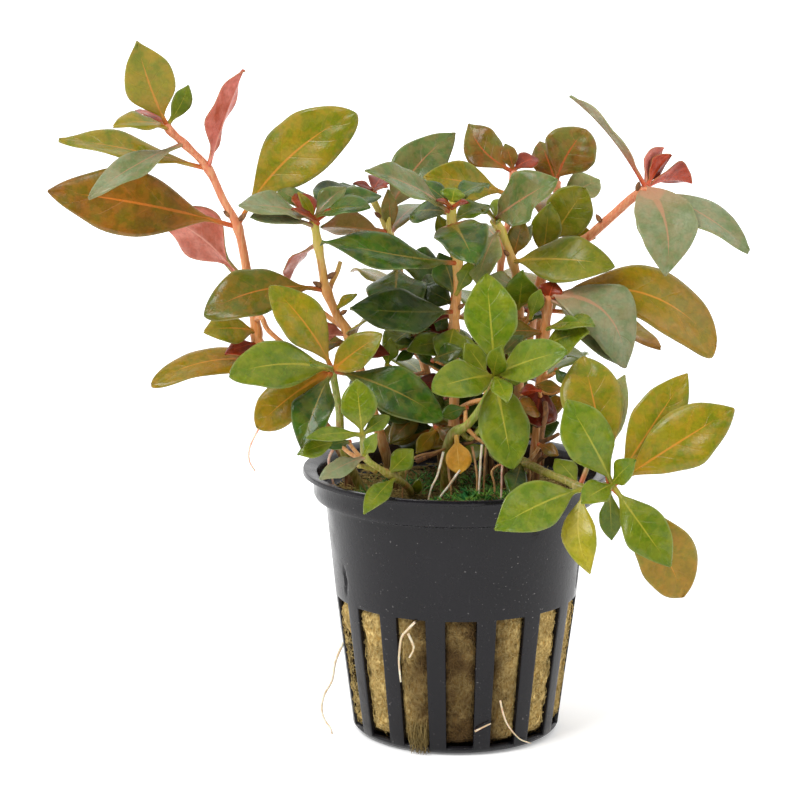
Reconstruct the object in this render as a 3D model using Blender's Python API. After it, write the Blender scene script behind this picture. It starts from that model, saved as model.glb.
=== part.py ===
# A bunch of red ludwigia, an aquarium stem plant, growing from mineral wool in a black net pot.
# The origin is the centre of the pot's base, +Z is up and -Y is the side that faces the viewer.
# Lengths in the tables are millimetres, as one would measure the real plant; MM turns them to metres.

import math
import random

import bmesh
import bpy
from mathutils import Vector

MM = 0.001
CLEAR = 0.35          # gap between separate solids

# The net pot: a standard 5 cm aquarium pot, 55 mm over its lip.
LIP_RADIUS = 27.5
BAND_RADIUS = 25.5
POT_HEIGHT = 48.2
BAND_BOTTOM = 42.6
BODY_TOP_RADIUS = 23.4
FOOT_RADIUS = 18.6
BASE_RADIUS = 17.4
POT_WALL = 0.9
SLOTS = 15
SLOT_ANGLE = 14.6     # degrees that a slot takes of its 24
SLOT_TURN = 2.4       # degrees from the front to the middle of the nearest slot
SLOT_BOTTOM = 1.2
SLOT_TOP = 25.3
SLOT_TOP_RADIUS = 21.7
BASE_SLOT_INNER = 6.0
BASE_SLOT_OUTER = 14.0

# The mineral wool plug inside the pot.
WOOL_BOTTOM = 1.4
WOOL_TOP = 42.8
WOOL_SIDES = 20
WOOL_LUMP = 0.35
WOOL_HOLLOW = 2.6     # how far the plug shrinks from the wall at its lower left

# Stems and leaves.
STEM_FOOT = WOOL_TOP + CLEAR
STEM_SIDES = 6
LEAF_THICKNESS = 0.45
ROOTED = 0.4          # how deep a small leaf starts inside its stem
PETIOLE_WIDTH = 0.8
PETIOLE_SHARE = 0.1   # share of a leaf's length that is stalk
LEAF_STEPS = 5
SMALL_LEAF_STEPS = 3


def leaf(tone, root, tip, width, faces, arch, fold, sweep=0.0):
    """One leaf: where it leaves the stem, its tip, the way its upper side faces, how far the blade
    bows up and sideways, and how many degrees each half is folded up along the midrib."""
    return {
        "tone": tone,
        "root": Vector(root),
        "tip": Vector(tip),
        "width": width,
        "faces": Vector(faces),
        "arch": arch,
        "fold": math.radians(fold),
        "sweep": sweep,
    }


# Every shoot of the bunch: its stem's route from the wool up, its thickness at foot and top, its
# large leaves, and the small leaves that are one piece with the stem.
SHOOTS = {
    "tall_left": {
        "stem": [
            (-19, 2, STEM_FOOT), (-20, 2, 49.5), (-28, 3, 60), (-35, 4, 68.5),
            (-36, 4, 73), (-37.5, 4, 83), (-39, 4, 90.5), (-41.5, 3.5, 95.5),
            (-44, 3, 101), (-47.5, 2, 105), (-50.5, 1, 108), (-51, 1, 109),
        ],
        "thick": (2.4, 1.2),
        "leaves": [
            leaf("olive", (-50.5, 0, 109.5), (-55.5, -4, 124), 9, (0.1, -1, 0.2), 1, 8, -0.5),
            leaf("grey", (-48.5, 0, 104.5), (-63.5, -11, 98), 6.5, (-0.1, -0.6, 0.8), 0.8, 12),
            leaf("olive", (-44.5, 3, 101), (-70.5, 5, 106.5), 7.5, (0.1, -0.5, 0.95), 0.8, 14),
            leaf("brown", (-39.5, 4, 90.5), (-72, 0, 97.5), 12.2, (0.05, -1, 0.45), 1, 6, 0.5),
            leaf("pink", (-37.5, 4, 77.5), (-54, 14, 92), 10.5, (0.35, 1, 0.2), 1.5, 10, -1.5),
            leaf("red", (-43.5, 3, 101.5), (-37.5, 2, 118.5), 7.5, (-1, 0.55, 0.25), -0.4, 22),
            leaf("olive", (-39, 4, 90.5), (-18, 2, 111), 12.2, (-0.1, -1, 0.4), 1.2, 6, -0.5),
            leaf("golden", (-32.5, 3, 66), (-54, -3, 63.5), 7.5, (-0.1, -0.6, 0.85), 1.5, 8),
        ],
        "small": [
            leaf("olive", (-51, 1, 108), (-59.5, -6, 109.5), 6, (0, -0.5, 0.9), 1, 15),
            leaf("green", (-51, 2, 109), (-47.5, 5, 115.5), 3.6, (0.2, -1, 0.3), 0.4, 10, 0.4),
            leaf("red", (-51, 2, 108.5), (-57, 6, 111), 4, (0.3, -0.4, 0.8), 0.6, 12),
            leaf("olive", (-36, 4, 71.5), (-44.5, -2, 73), 6.5, (0, -0.8, 0.6), 1, 8),
            leaf("red", (-35.5, 4, 69.5), (-41, -1, 68.5), 4, (0, -0.7, 0.7), 0.6, 8),
            leaf("olive", (-28, 3, 60), (-31, 19, 65), 8, (0.1, 0.4, 1), 1, 10),
        ],
    },
    "mid_left": {
        "stem": [
            (-10.5, -1, STEM_FOOT), (-12.5, -2, 50.5), (-16, -3, 62.5), (-19, -4, 72.5),
            (-21, -4, 76), (-23, -5, 81), (-23.5, -5, 84), (-24.5, -5, 90),
            (-25, -5, 93),
        ],
        "thick": (2.1, 1.4),
        "leaves": [
            leaf("brown", (-23.5, -5, 80.5), (-43.5, -13, 78), 10, (-0.05, -0.75, 0.65), 1.5, 8, 1.5),
            leaf("grey", (-25.5, -6, 93.5), (-37.5, -13, 96.5), 7.5, (0, -0.5, 0.85), 1, 14),
            leaf("dark", (-25, -4, 93), (-19, 5, 98), 8, (-0.2, -0.6, 0.8), 1, 15),
        ],
        "small": [
            leaf("dark", (-24.5, -6, 93), (-15, -11, 96), 6.5, (0, -0.45, 0.9), 1, 15),
            leaf("pink", (-24, -4, 89), (-30, 5, 81), 5.5, (-0.6, 0.35, 0.7), 1, 12),
            leaf("red", (-25.5, -3, 93.5), (-28.5, -1, 97), 5, (0.2, -0.5, 0.8), 0.8, 14),
            leaf("pink", (-19.5, -5, 72.5), (-27, -9, 72), 7, (0.1, 0.75, 0.6), 1, 10),
            leaf("olive", (-18.5, -6, 71), (-15, -10, 76.5), 5, (0, -0.5, 0.85), 1, 12),
        ],
    },
    "back_left": {
        "stem": [
            (-2.5, 9, STEM_FOOT), (-3, 9, 51), (-6.5, 9.5, 67.5), (-10.5, 10, 81.5),
            (-12.5, 10, 89.5), (-14, 10, 92.5), (-15, 10, 94.5), (-15.5, 10, 96.5),
        ],
        "thick": (2, 1.2),
        "leaves": [
            leaf("grey", (-13, 11, 90), (-0.5, 17, 106), 9, (-0.1, -1, 0.3), 1, 8, 0.6),
            leaf("dark", (-10.5, 9, 82), (-11, -6, 74.5), 11, (0, -0.8, 0.6), 2, 8),
        ],
        "small": [
            leaf("dark", (-15.5, 9, 96.5), (-21, 3, 94.5), 6.5, (-0.1, -0.5, 0.85), 1, 15),
            leaf("red", (-15, 11, 96), (-13.5, 16, 98), 4.5, (0.1, -0.6, 0.7), 0.6, 12),
            leaf("dark", (-10.5, 11, 82), (-3, 14, 82), 7, (0, -1, 0.3), 0.8, 8),
            leaf("green", (-8, 9, 71), (-13, 0, 69), 5.5, (0, -0.8, 0.6), 0.8, 8),
            leaf("dark", (-7, 9, 68.5), (-5.5, -1, 73), 5, (0, -0.7, 0.7), 0.8, 8),
            leaf("green", (-5, 9.5, 60), (-13, 24, 64), 8.5, (0, 0.3, 1), 1.2, 10),
            leaf("olive", (-9, 10, 76), (-19, 24, 80), 8.5, (-0.1, 0.4, 1), 1.2, 10),
            leaf("grey", (-12, 10, 88), (-6, 25, 92), 8, (0.1, 0.5, 1), 1.2, 10),
        ],
    },
    "centre": {
        "stem": [
            (-1, 2, STEM_FOOT), (-0.5, 0, 53), (-0.5, -2, 72), (-0.5, -2.5, 76),
            (0, -3, 80), (0, -3.5, 84), (0, -4, 87), (-1, -4, 92),
            (-1, -4, 96),
        ],
        "thick": (2.1, 1.4),
        "leaves": [
            leaf("grey", (-1.5, -5, 94), (-15.5, -14, 103), 9, (0.1, -0.5, 0.85), 1, 12),
            leaf("dark", (-1, -5, 92), (3, -15, 87), 9.6, (0.05, -0.85, 0.6), 1.5, 8),
            leaf("dark", (-0.5, -4, 85.5), (-23, -13, 91), 9, (0.05, -0.6, 0.8), 1.5, 10, -1.2),
            leaf("dark", (-0.5, -3, 76.5), (-18.5, -11, 78.5), 9.5, (0.1, -0.75, 0.65), 1.5, 8, -1.5),
        ],
        "small": [
            leaf("dark", (-1, -4, 95.5), (5.5, 0, 99), 6, (0, -0.2, 1), 0.8, 15),
            leaf("bright", (-1, -4, 96), (-0.5, -3, 98.5), 4.5, (0, -1, 0.3), 0.5, 10),
            leaf("dark", (-1, -3, 94), (-8.5, 4, 93), 6, (0, -0.8, 0.6), 0.8, 10),
            leaf("green", (0, -2, 74), (-2, -8, 68.5), 6.5, (0, -0.9, 0.5), 0.8, 8),
            leaf("green", (-0.5, -1.5, 70.5), (-8.5, -6, 70.5), 5.5, (0, -0.7, 0.7), 0.8, 8),
            leaf("golden", (-0.5, 0, 55), (-5.5, -8, 53.5), 4.5, (0, -1, 0.3), 0.5, 8),
            leaf("green", (-0.5, -1, 66), (-1, 13, 71), 7, (0, 0.3, 1), 1, 10),
        ],
    },
    "mid_right": {
        "stem": [
            (10.5, 3, STEM_FOOT), (11, 3, 52.5), (11, 3, 74), (10.5, 3, 77),
            (10.5, 3, 81.5), (10, 3, 84), (8, 3, 89.5), (6.5, 3, 92),
        ],
        "thick": (2.1, 1.4),
        "leaves": [
            leaf("grey", (7, 2, 92), (17, -6, 100.5), 10.5, (-0.1, -0.85, 0.6), 1.5, 12, 0.8),
            leaf("green", (10, 3, 84.5), (27, -5, 85.5), 9.5, (0, -0.8, 0.6), 1.8, 8, 1.2),
        ],
        "small": [
            leaf("pale", (7.5, 2, 90.5), (3.5, -6.5, 82), 6.5, (-0.3, -0.6, 0.6), 1, 10),
            leaf("bright", (6.5, 3, 92), (8, 6, 95.5), 3.5, (0, -0.8, 0.5), 0.5, 10),
            leaf("bright", (11, 2, 76), (11.5, -5, 84), 6.5, (0, -1, 0.35), 0.8, 8),
            leaf("pale", (10.5, 2, 79.5), (6, -3, 83), 4, (0, -0.8, 0.5), 0.5, 8),
            leaf("green", (11, 2, 72.5), (9.5, -6, 69), 5, (0, -0.9, 0.4), 0.6, 8),
        ],
    },
    "back_top": {
        "stem": [
            (6, 8, STEM_FOOT), (6.5, 8, 60), (8, 9, 86), (9, 11, 90), (9.5, 13, 95),
            (10, 14, 99.5),
        ],
        "thick": (1.6, 1.1),
        "leaves": [
            leaf("brown", (10, 14, 99.5), (2, 17, 107.5), 7.5, (0.2, -1, 0.35), 1, 10),
            leaf("olive", (9.5, 13, 95), (-6, 8, 99), 7.5, (0.1, -1, 0.4), 1, 8, -1),
        ],
        "small": [
            leaf("red", (10, 14, 99.5), (14.5, 17, 101.5), 4.5, (0, -0.6, 0.7), 0.5, 14),
            leaf("brown", (9.5, 12, 92.5), (12.5, 6, 87.5), 5, (0, 0.5, 0.8), 0.6, 10),
            leaf("green", (7, 8.5, 70), (0, 24, 76), 8, (0, 0.4, 1), 1.2, 10),
            leaf("olive", (8, 9, 85), (4, 25, 88), 8, (0, 0.5, 1), 1.2, 10),
        ],
    },
    "back_right": {
        "stem": [
            (15, 14, STEM_FOOT), (15.5, 14, 53.5), (15, 15, 76), (16.5, 16.5, 84.5),
            (18, 18, 91), (18, 18, 97),
        ],
        "thick": (2, 1.2),
        "leaves": [
            leaf("grey", (17, 16, 86), (23, 12, 96.5), 8.8, (-0.1, -1, 0.3), 1, 8),
            leaf("brown", (18, 18, 97), (23, 17, 106.5), 10, (-0.1, -1, 0.25), 1, 8, -0.6),
        ],
        "small": [
            leaf("pale", (18, 18, 93), (26, 24, 96.5), 6, (0, -0.8, 0.5), 0.8, 10),
            leaf("brown", (18, 18, 95.5), (15, 22, 104), 6.5, (0.1, -1, 0.3), 0.8, 10),
            leaf("green", (15.5, 14, 60), (24, 28, 64), 8.5, (0.1, 0.4, 1), 1.2, 10),
            leaf("olive", (15, 15, 74), (10, 30, 79), 8.5, (-0.1, 0.5, 1), 1.2, 10),
            leaf("brown", (17, 17, 88), (19, 31, 93), 8, (0, 0.6, 1), 1.2, 10),
        ],
    },
    "far_right": {
        "stem": [
            (10.5, 8, STEM_FOOT), (10.5, 8, 51), (15, 8, 80.5), (23.5, 5, 89),
            (28, 3, 93.5), (30.5, 2, 96), (33, 1, 98),
        ],
        "thick": (2.3, 1.6),
        "leaves": [
            leaf("pale", (32.5, 1, 98.5), (20, 5, 114), 7.5, (0.8, 0.05, 0.6), 1, 16),
            leaf("red", (33.5, 2, 98.5), (41.5, 9, 98.5), 8, (-0.2, 0.55, 0.8), 1, 22),
            leaf("grey", (33.5, -1, 97.5), (36, -9, 84), 10.8, (0.05, -1, 0.3), 1.5, 8),
            leaf("grey", (33.5, 0, 98), (51, -4, 88), 8.4, (0.25, -0.6, 0.8), 1.2, 12),
        ],
        "small": [
            leaf("red", (33, 2, 98), (36, 7, 104.5), 5.5, (-0.3, 0.5, 0.4), 0.6, 16),
            leaf("green", (12.5, 8, 66), (24.5, 9, 66), 7, (0.1, -0.1, 1), 1, 10),
        ],
    },
    "right_arch": {
        "stem": [
            (13, -4, STEM_FOOT), (14, -4, 53), (15, -4, 64.5), (15.5, -4, 73.5),
            (16, -4, 79.5),
        ],
        "thick": (2, 1.4),
        "leaves": [
            leaf("grey", (16, -5, 79.5), (29.5, -10, 68.5), 11.5, (0.25, -0.85, 0.5), 2.5, 8, -4.5),
            leaf("golden", (16, -2, 78.5), (46, 1, 70), 12, (0.1, -0.8, 0.6), 2.5, 8, -4.5),
        ],
        "small": [
            leaf("green", (16, -5, 73.5), (23.5, -15, 76.5), 5.5, (0, -0.6, 0.8), 0.8, 10),
            leaf("bright", (15.5, -5, 70.5), (22.5, -14, 75), 8, (0, -0.85, 0.5), 0.8, 8),
            leaf("red", (16, -3, 79), (17, -3, 82), 4.5, (0, -0.8, 0.5), 0.5, 12),
            leaf("golden", (16, -3, 77), (36.5, 6, 69), 7.5, (0, 0.5, 0.8), 1.5, 8),
            leaf("red", (15, -4, 64.5), (14, -10, 57.5), 8.5, (0, 0.8, 0.4), 1, 10),
        ],
    },
    "front_centre": {
        "stem": [
            (-2, -8, STEM_FOOT), (-1.5, -12, 55), (2, -13, 58.5), (4, -14, 61.5),
            (6, -15, 65.5), (6.5, -16, 67.5),
        ],
        "thick": (1.9, 1.2),
        "leaves": [
            leaf("bright", (6.5, -16, 68), (5, -13, 85), 9.4, (0.05, -1, 0.25), 1, 8),
            leaf("green", (5.5, -17, 67), (-4, -25, 67), 7.5, (0, -0.85, 0.6), 1, 8),
            leaf("bright", (8.5, -17, 68), (18.5, -24, 73.5), 7.5, (0, -0.85, 0.6), 1, 8),
            leaf("green", (7, -18, 66.5), (9.5, -25, 53.5), 8.8, (0, -1, 0.35), 1.2, 8),
        ],
        "small": [
            leaf("green", (6.5, -18, 68.5), (7.5, -22, 74), 4, (0, -0.8, 0.6), 0.6, 8),
            leaf("bright", (7, -19, 67.5), (8.5, -27, 65.5), 3.8, (0, -0.8, 0.6), 0.6, 8),
            leaf("yellow", (1, -13, 55.5), (0.5, -16, 50.5), 4.6, (0, -1, 0.2), 0.5, 8),
        ],
    },
    "low_right": {
        "stem": [
            (10, -4, STEM_FOOT), (10.5, -9, 47.5), (11, -14, 52), (15.5, -20, 51.5),
            (18.5, -23, 51), (21.5, -25, 50), (24.5, -26, 50.5), (26.5, -27, 51),
        ],
        "thick": (2, 1.2),
        "leaves": [
            leaf("olive", (26, -26, 51), (21.5, -21, 72), 10.5, (0.1, -1, 0.3), 1.5, 6),
            leaf("bright", (26, -28, 51.5), (18.5, -29, 66), 9, (0.1, -1, 0.35), 1.2, 8),
            leaf("olive", (26.5, -26, 51.5), (39, -23, 69.5), 8.6, (-0.05, -1, 0.3), 1.5, 8),
            leaf("olive", (27, -27, 51.5), (46.5, -28, 64.5), 10.4, (-0.1, -1, 0.35), 1.5, 8),
            leaf("green", (26.5, -28, 51), (36, -33, 38.5), 7.8, (-0.15, -1, 0.3), 1.2, 8),
            leaf("golden", (27, -25.5, 50), (39, -24, 30.5), 10.4, (-0.1, -1, 0.3), 1.5, 6, -0.5),
            leaf("bright", (21.5, -26, 50), (6.5, -34, 45), 9, (0.05, -0.9, 0.5), 1, 8, 0.5),
        ],
        "small": [
            leaf("bright", (21.5, -26, 50), (22.5, -32, 37), 6, (-0.2, -1, 0.3), 1, 8),
            leaf("green", (26, -26, 50.5), (26.5, -25, 41), 4, (0, -1, 0.3), 0.5, 8),
            leaf("bright", (26, -29, 51.5), (21, -33, 49.5), 5, (0, -0.8, 0.6), 0.6, 8),
            leaf("bright", (26.5, -29, 52), (30, -32, 56.5), 4.5, (0, -0.8, 0.6), 0.6, 8),
            leaf("bright", (21.5, -24, 50), (17, -18, 53.5), 4, (0, -0.8, 0.6), 0.6, 8),
            leaf("dark", (11, -15, 51.5), (9.5, -22, 48), 4, (0, -1, 0.3), 0.5, 8),
            leaf("pale", (21.5, -24, 50), (29, -14, 67.5), 6, (0, -1, 0.3), 1, 8),
        ],
    },
    "low_left": {
        "stem": [
            (-16, -5, STEM_FOOT), (-20, -8, 53), (-20.5, -11, 60.5), (-21.5, -14, 68),
        ],
        "thick": (1.9, 1.2),
        "leaves": [
            leaf("dark", (-20, -15, 67.5), (-2.5, -18, 60.5), 8.8, (0.05, -0.9, 0.5), 1.2, 8, -0.8),
            leaf("green", (-22.5, -15, 68), (-38.5, -23, 69), 9.4, (-0.05, -0.85, 0.55), 1.2, 8, 1),
            leaf("golden", (-21.5, -15, 67.5), (-34.5, -16, 58.5), 8, (-0.05, -0.85, 0.5), 1, 8),
            leaf("dark", (-21.5, -16, 67.5), (-26.5, -23, 56.5), 7.6, (-0.2, -0.9, 0.3), 1, 16),
            leaf("olive", (-21.5, -14, 69), (-32, -15, 83), 8.2, (0.1, -0.9, 0.4), 1, 10, 0.8),
        ],
        "small": [
            leaf("olive", (-21, -14, 68.5), (-13, -17, 75), 6.2, (0, -0.9, 0.5), 0.8, 8),
            leaf("green", (-21.5, -17, 68.5), (-24.5, -27, 71.5), 4, (0, -0.7, 0.7), 0.6, 8),
        ],
    },
    "front_left": {
        "stem": [
            (-8, -8, STEM_FOOT), (-8, -13, 46.5), (-10, -19, 50), (-13, -22, 52.5),
            (-15.5, -24, 55), (-16, -25, 59),
        ],
        "thick": (1.6, 0.9),
        "leaves": [
        ],
        "small": [
            leaf("green", (-16, -25, 59), (-17, -24, 68.5), 6.4, (0, -1, 0.3), 0.8, 8),
            leaf("green", (-16.5, -26, 59), (-25, -31, 60), 3.2, (0, -0.7, 0.7), 0.6, 10),
            leaf("grey", (-16, -24, 55), (-23, -29, 52.5), 3.6, (0, -0.8, 0.6), 0.6, 8),
            leaf("green", (-15.5, -25, 59), (-11.5, -23, 62), 3, (0, -0.8, 0.6), 0.5, 8),
            leaf("green", (-11.5, -21, 51), (-7.5, -20, 55.5), 4.2, (0, -1, 0.3), 0.5, 8),
            leaf("green", (-10, -20, 50), (-15.5, -31, 47), 3.8, (0, -0.8, 0.6), 0.8, 8),
            leaf("bright", (-15.5, -25, 55), (-13.5, -28, 60), 2.6, (0, -1, 0.3), 0.5, 8),
        ],
    },
}

TONES = {
    "olive": (0.20, 0.19, 0.02),
    "brown": (0.20, 0.13, 0.02),
    "golden": (0.33, 0.19, 0.02),
    "green": (0.11, 0.22, 0.03),
    "bright": (0.18, 0.33, 0.04),
    "dark": (0.03, 0.09, 0.03),
    "grey": (0.23, 0.30, 0.18),
    "red": (0.45, 0.06, 0.03),
    "pink": (0.65, 0.26, 0.20),
    "pale": (0.47, 0.52, 0.30),
    "yellow": (0.68, 0.38, 0.05),
}


def clear_scene():
    for thing in list(bpy.data.objects):
        bpy.data.objects.remove(thing, do_unlink=True)


def material(name, colour, roughness):
    found = bpy.data.materials.get(name)
    if found:
        return found
    made = bpy.data.materials.new(name)
    made.use_nodes = True
    shader = made.node_tree.nodes["Principled BSDF"]
    shader.inputs["Base Color"].default_value = (*colour, 1.0)
    shader.inputs["Roughness"].default_value = roughness
    shader.inputs["Metallic"].default_value = 0.0
    return made


def object_from(name, shape, look):
    """Turns a bmesh in millimetres into a named object in metres."""
    bmesh.ops.scale(shape, vec=(MM, MM, MM), verts=shape.verts)
    mesh = bpy.data.meshes.new(name)
    shape.to_mesh(mesh)
    shape.free()
    made = bpy.data.objects.new(name, mesh)
    mesh.materials.append(look)
    bpy.context.collection.objects.link(made)
    return made


def thicken(thing, thickness, offset):
    wall = thing.modifiers.new("wall", "SOLIDIFY")
    wall.thickness = thickness * MM
    wall.offset = offset
    wall.use_even_offset = True
    return wall


def pot_angles():
    """Three edges a slot, so that 45 flats go round: both sides of each slot and its middle."""
    pitch = 360 / SLOTS
    turns = []
    for slot in range(SLOTS):
        middle = SLOT_TURN + slot * pitch
        for side in (-SLOT_ANGLE / 2, 0, SLOT_ANGLE / 2):
            turns.append(math.radians(middle + side - 90))
    return turns


def make_pot():
    """The wall's outer face as one sheet from base to lip, left open at its slots, then given its wall.
    Every face is wound to point out, so that the wall grows inwards from it."""
    profile = [
        (BASE_SLOT_INNER, 0),
        (BASE_SLOT_OUTER, 0),
        (BASE_RADIUS, 0),
        (FOOT_RADIUS, SLOT_BOTTOM),
        ((FOOT_RADIUS + SLOT_TOP_RADIUS) / 2 + 0.2, (SLOT_BOTTOM + SLOT_TOP) / 2),
        (SLOT_TOP_RADIUS, SLOT_TOP),
        (BODY_TOP_RADIUS, BAND_BOTTOM),
        (BAND_RADIUS, BAND_BOTTOM + 0.2),
        (BAND_RADIUS, POT_HEIGHT - POT_WALL - 0.3),
        (LIP_RADIUS, POT_HEIGHT - POT_WALL),
    ]
    base_slot_row = 0
    wall_slot_rows = (3, 4)
    angles = pot_angles()
    shape = bmesh.new()
    rings = []
    for radius, height in profile:
        ring = [shape.verts.new((radius * math.cos(a), radius * math.sin(a), height)) for a in angles]
        rings.append(ring)
    centre = shape.verts.new((0, 0, 0))
    count = len(angles)
    for k in range(count):
        after = (k + 1) % count
        shape.faces.new((centre, rings[0][after], rings[0][k]))
        in_slot = k % 3 != 2
        for row in range(len(profile) - 1):
            if in_slot and (row == base_slot_row or row in wall_slot_rows):
                continue
            low, high = rings[row], rings[row + 1]
            shape.faces.new((low[k], low[after], high[after], high[k]))
    pot = object_from("net_pot", shape, material("black_plastic", (0.04, 0.04, 0.045), 0.45))
    thicken(pot, POT_WALL, -1)
    pot.data.shade_smooth()
    pot.data.set_sharp_from_angle(angle=math.radians(30))
    return pot


def inner_radius(height):
    """Inside of the pot's wall at a height."""
    if height < SLOT_TOP:
        share = (height - SLOT_BOTTOM) / (SLOT_TOP - SLOT_BOTTOM)
        return FOOT_RADIUS + (SLOT_TOP_RADIUS - FOOT_RADIUS) * share - POT_WALL
    share = (height - SLOT_TOP) / (BAND_BOTTOM - SLOT_TOP)
    return SLOT_TOP_RADIUS + (BODY_TOP_RADIUS - SLOT_TOP_RADIUS) * share - POT_WALL


def make_wool():
    """A soft plug that fills the pot but for a hollow low on its left side."""
    random.seed(5)
    heights = [WOOL_BOTTOM, 6, 12, 18, 25, 40.5, WOOL_TOP]
    hollow_turn, hollow_spread = math.radians(205), math.radians(34)
    shape = bmesh.new()
    rings = []
    for height in heights:
        ring = []
        for k in range(WOOL_SIDES):
            turn = 2 * math.pi * k / WOOL_SIDES
            off_hollow = (turn - hollow_turn) / hollow_spread
            depth = WOOL_HOLLOW * math.exp(-off_hollow * off_hollow) * (5 < height < 20)
            radius = inner_radius(height) - CLEAR - 0.2 - depth - random.uniform(0, WOOL_LUMP)
            if height in (WOOL_BOTTOM, WOOL_TOP):
                radius -= 1.2
            ring.append(shape.verts.new((radius * math.cos(turn), radius * math.sin(turn), height)))
        rings.append(ring)
    for low, high in zip(rings, rings[1:]):
        for k in range(WOOL_SIDES):
            after = (k + 1) % WOOL_SIDES
            shape.faces.new((low[k], low[after], high[after], high[k]))
    shape.faces.new(list(reversed(rings[0])))
    shape.faces.new(rings[-1])
    bmesh.ops.triangulate(shape, faces=shape.faces)
    bmesh.ops.recalc_face_normals(shape, faces=shape.faces)
    return object_from("wool_plug", shape, material("mineral_wool", (0.33, 0.25, 0.10), 0.95))


def make_stem(name, points, thick):
    """A tapering tube through the route's points, closed at both ends."""
    centres = [Vector(p) for p in points]
    shape = bmesh.new()
    rings = []
    along = Vector((0, 0, 1))
    side = Vector((1, 0, 0))
    last = len(centres) - 1
    for k, centre in enumerate(centres):
        if k > 0:
            along = (centres[min(k + 1, last)] - centres[k - 1]).normalized()
        side = (side - side.dot(along) * along).normalized()
        other = along.cross(side)
        radius = (thick[0] + (thick[1] - thick[0]) * k / last) / 2
        ring = []
        for step in range(STEM_SIDES):
            turn = 2 * math.pi * step / STEM_SIDES
            ring.append(shape.verts.new(centre + radius * (math.cos(turn) * side + math.sin(turn) * other)))
        rings.append(ring)
    for low, high in zip(rings, rings[1:]):
        for k in range(STEM_SIDES):
            after = (k + 1) % STEM_SIDES
            shape.faces.new((low[k], low[after], high[after], high[k]))
    shape.faces.new(list(reversed(rings[0])))
    shape.faces.new(rings[-1])
    bmesh.ops.recalc_face_normals(shape, faces=shape.faces)
    stem = object_from(name, shape, material("stem_bark", (0.62, 0.24, 0.07), 0.5))
    stem.data.shade_smooth()
    return stem


def nearest_on_route(point, route):
    """The point of the stem's centre line that is nearest to this one."""
    found = route[0]
    for low, high in zip(route, route[1:]):
        run = high - low
        share = max(0.0, min(1.0, (point - low).dot(run) / run.length_squared))
        near = low + share * run
        if (point - near).length < (point - found).length:
            found = near
    return found


def clear_of_stem(spec, points, thick):
    """Where the leaf's stalk may start, on its own line, so that it just misses the stem."""
    route = [Vector(p) for p in points]
    along = (spec["tip"] - spec["root"]).normalized()
    needed = max(thick) / 2 + PETIOLE_WIDTH / 2 + CLEAR
    start = spec["root"].copy()
    step = 0.1
    while (start - nearest_on_route(start, route)).length < needed:
        start += step * along
    return start


def inside_stem(spec, points):
    """Where a leaf that is one piece with its stem starts, a little way inside it."""
    route = [Vector(p) for p in points]
    root = nearest_on_route(spec["root"], route)
    return root - ROOTED * (spec["tip"] - root).normalized()


def half_width(share, width):
    """Half of the blade's width at a share of its length: a narrow stalk, then an oval widest past
    the middle that ends in a blunt point."""
    blade = max(0.0, (share - PETIOLE_SHARE) / (1 - PETIOLE_SHARE))
    base_power, tip_power = 0.95, 0.62
    peak = base_power / (base_power + tip_power)
    most = peak**base_power * (1 - peak) ** tip_power
    oval = blade**base_power * (1 - blade) ** tip_power / most
    return max(PETIOLE_WIDTH / 2, width / 2 * oval)


def make_leaf(name, spec, root, steps):
    """The blade as a bowed sheet folded up along its midrib, given its thickness."""
    run = spec["tip"] - root
    along = run.normalized()
    up = (spec["faces"] - spec["faces"].dot(along) * along).normalized()
    side = along.cross(up)
    shape = bmesh.new()
    rows = []
    for k in range(steps + 1):
        share = math.sin(math.pi / 2 * k / steps) ** 1.3 if k else 0.0
        bow = 4 * share * (1 - share)
        middle = root + run * share + up * spec["arch"] * bow + side * spec["sweep"] * bow
        reach = half_width(share, spec["width"])
        across = side * reach * math.cos(spec["fold"])
        lift = up * reach * math.sin(spec["fold"])
        rows.append([shape.verts.new(p) for p in (middle - across + lift, middle, middle + across + lift)])
    for low, high in zip(rows, rows[1:]):
        for k in range(2):
            shape.faces.new((low[k], low[k + 1], high[k + 1], high[k]))
    bmesh.ops.recalc_face_normals(shape, faces=shape.faces)
    look = material("leaf_" + spec["tone"], TONES[spec["tone"]], 0.4)
    blade = object_from(name, shape, look)
    thicken(blade, LEAF_THICKNESS, 0)
    blade.data.shade_smooth()
    return blade


def make_shoot(name, shoot):
    """A stem with its small leaves grown into it, and its large leaves beside it."""
    stem = make_stem("stem_" + name, shoot["stem"], shoot["thick"])
    grown = bpy.data.collections.new("small_leaves_" + name)
    bpy.context.scene.collection.children.link(grown)
    for number, spec in enumerate(shoot["small"], 1):
        root = inside_stem(spec, shoot["stem"])
        blade = make_leaf(f"guide_{name}_{number}", spec, root, SMALL_LEAF_STEPS)
        bpy.context.collection.objects.unlink(blade)
        grown.objects.link(blade)
        blade.hide_render = True
        blade.display_type = "WIRE"
    join = stem.modifiers.new("small_leaves", "BOOLEAN")
    join.operation = "UNION"
    join.operand_type = "COLLECTION"
    join.collection = grown
    for number, spec in enumerate(shoot["leaves"], 1):
        root = clear_of_stem(spec, shoot["stem"], shoot["thick"])
        make_leaf(f"leaf_{name}_{number}", spec, root, LEAF_STEPS)


clear_scene()
make_pot()
make_wool()
for shoot_name, shoot_parts in SHOOTS.items():
    make_shoot(shoot_name, shoot_parts)
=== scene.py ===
# A bunch of red ludwigia, an aquarium stem plant, growing from mineral wool in a black net pot.
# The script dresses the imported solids. The origin is the middle of the pot's base, +Z is up, and
# -Y is the side that faces the viewer. Tables are in millimetres, and MM turns them to metres.

import math
import random

import bpy
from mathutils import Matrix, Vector, noise


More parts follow.
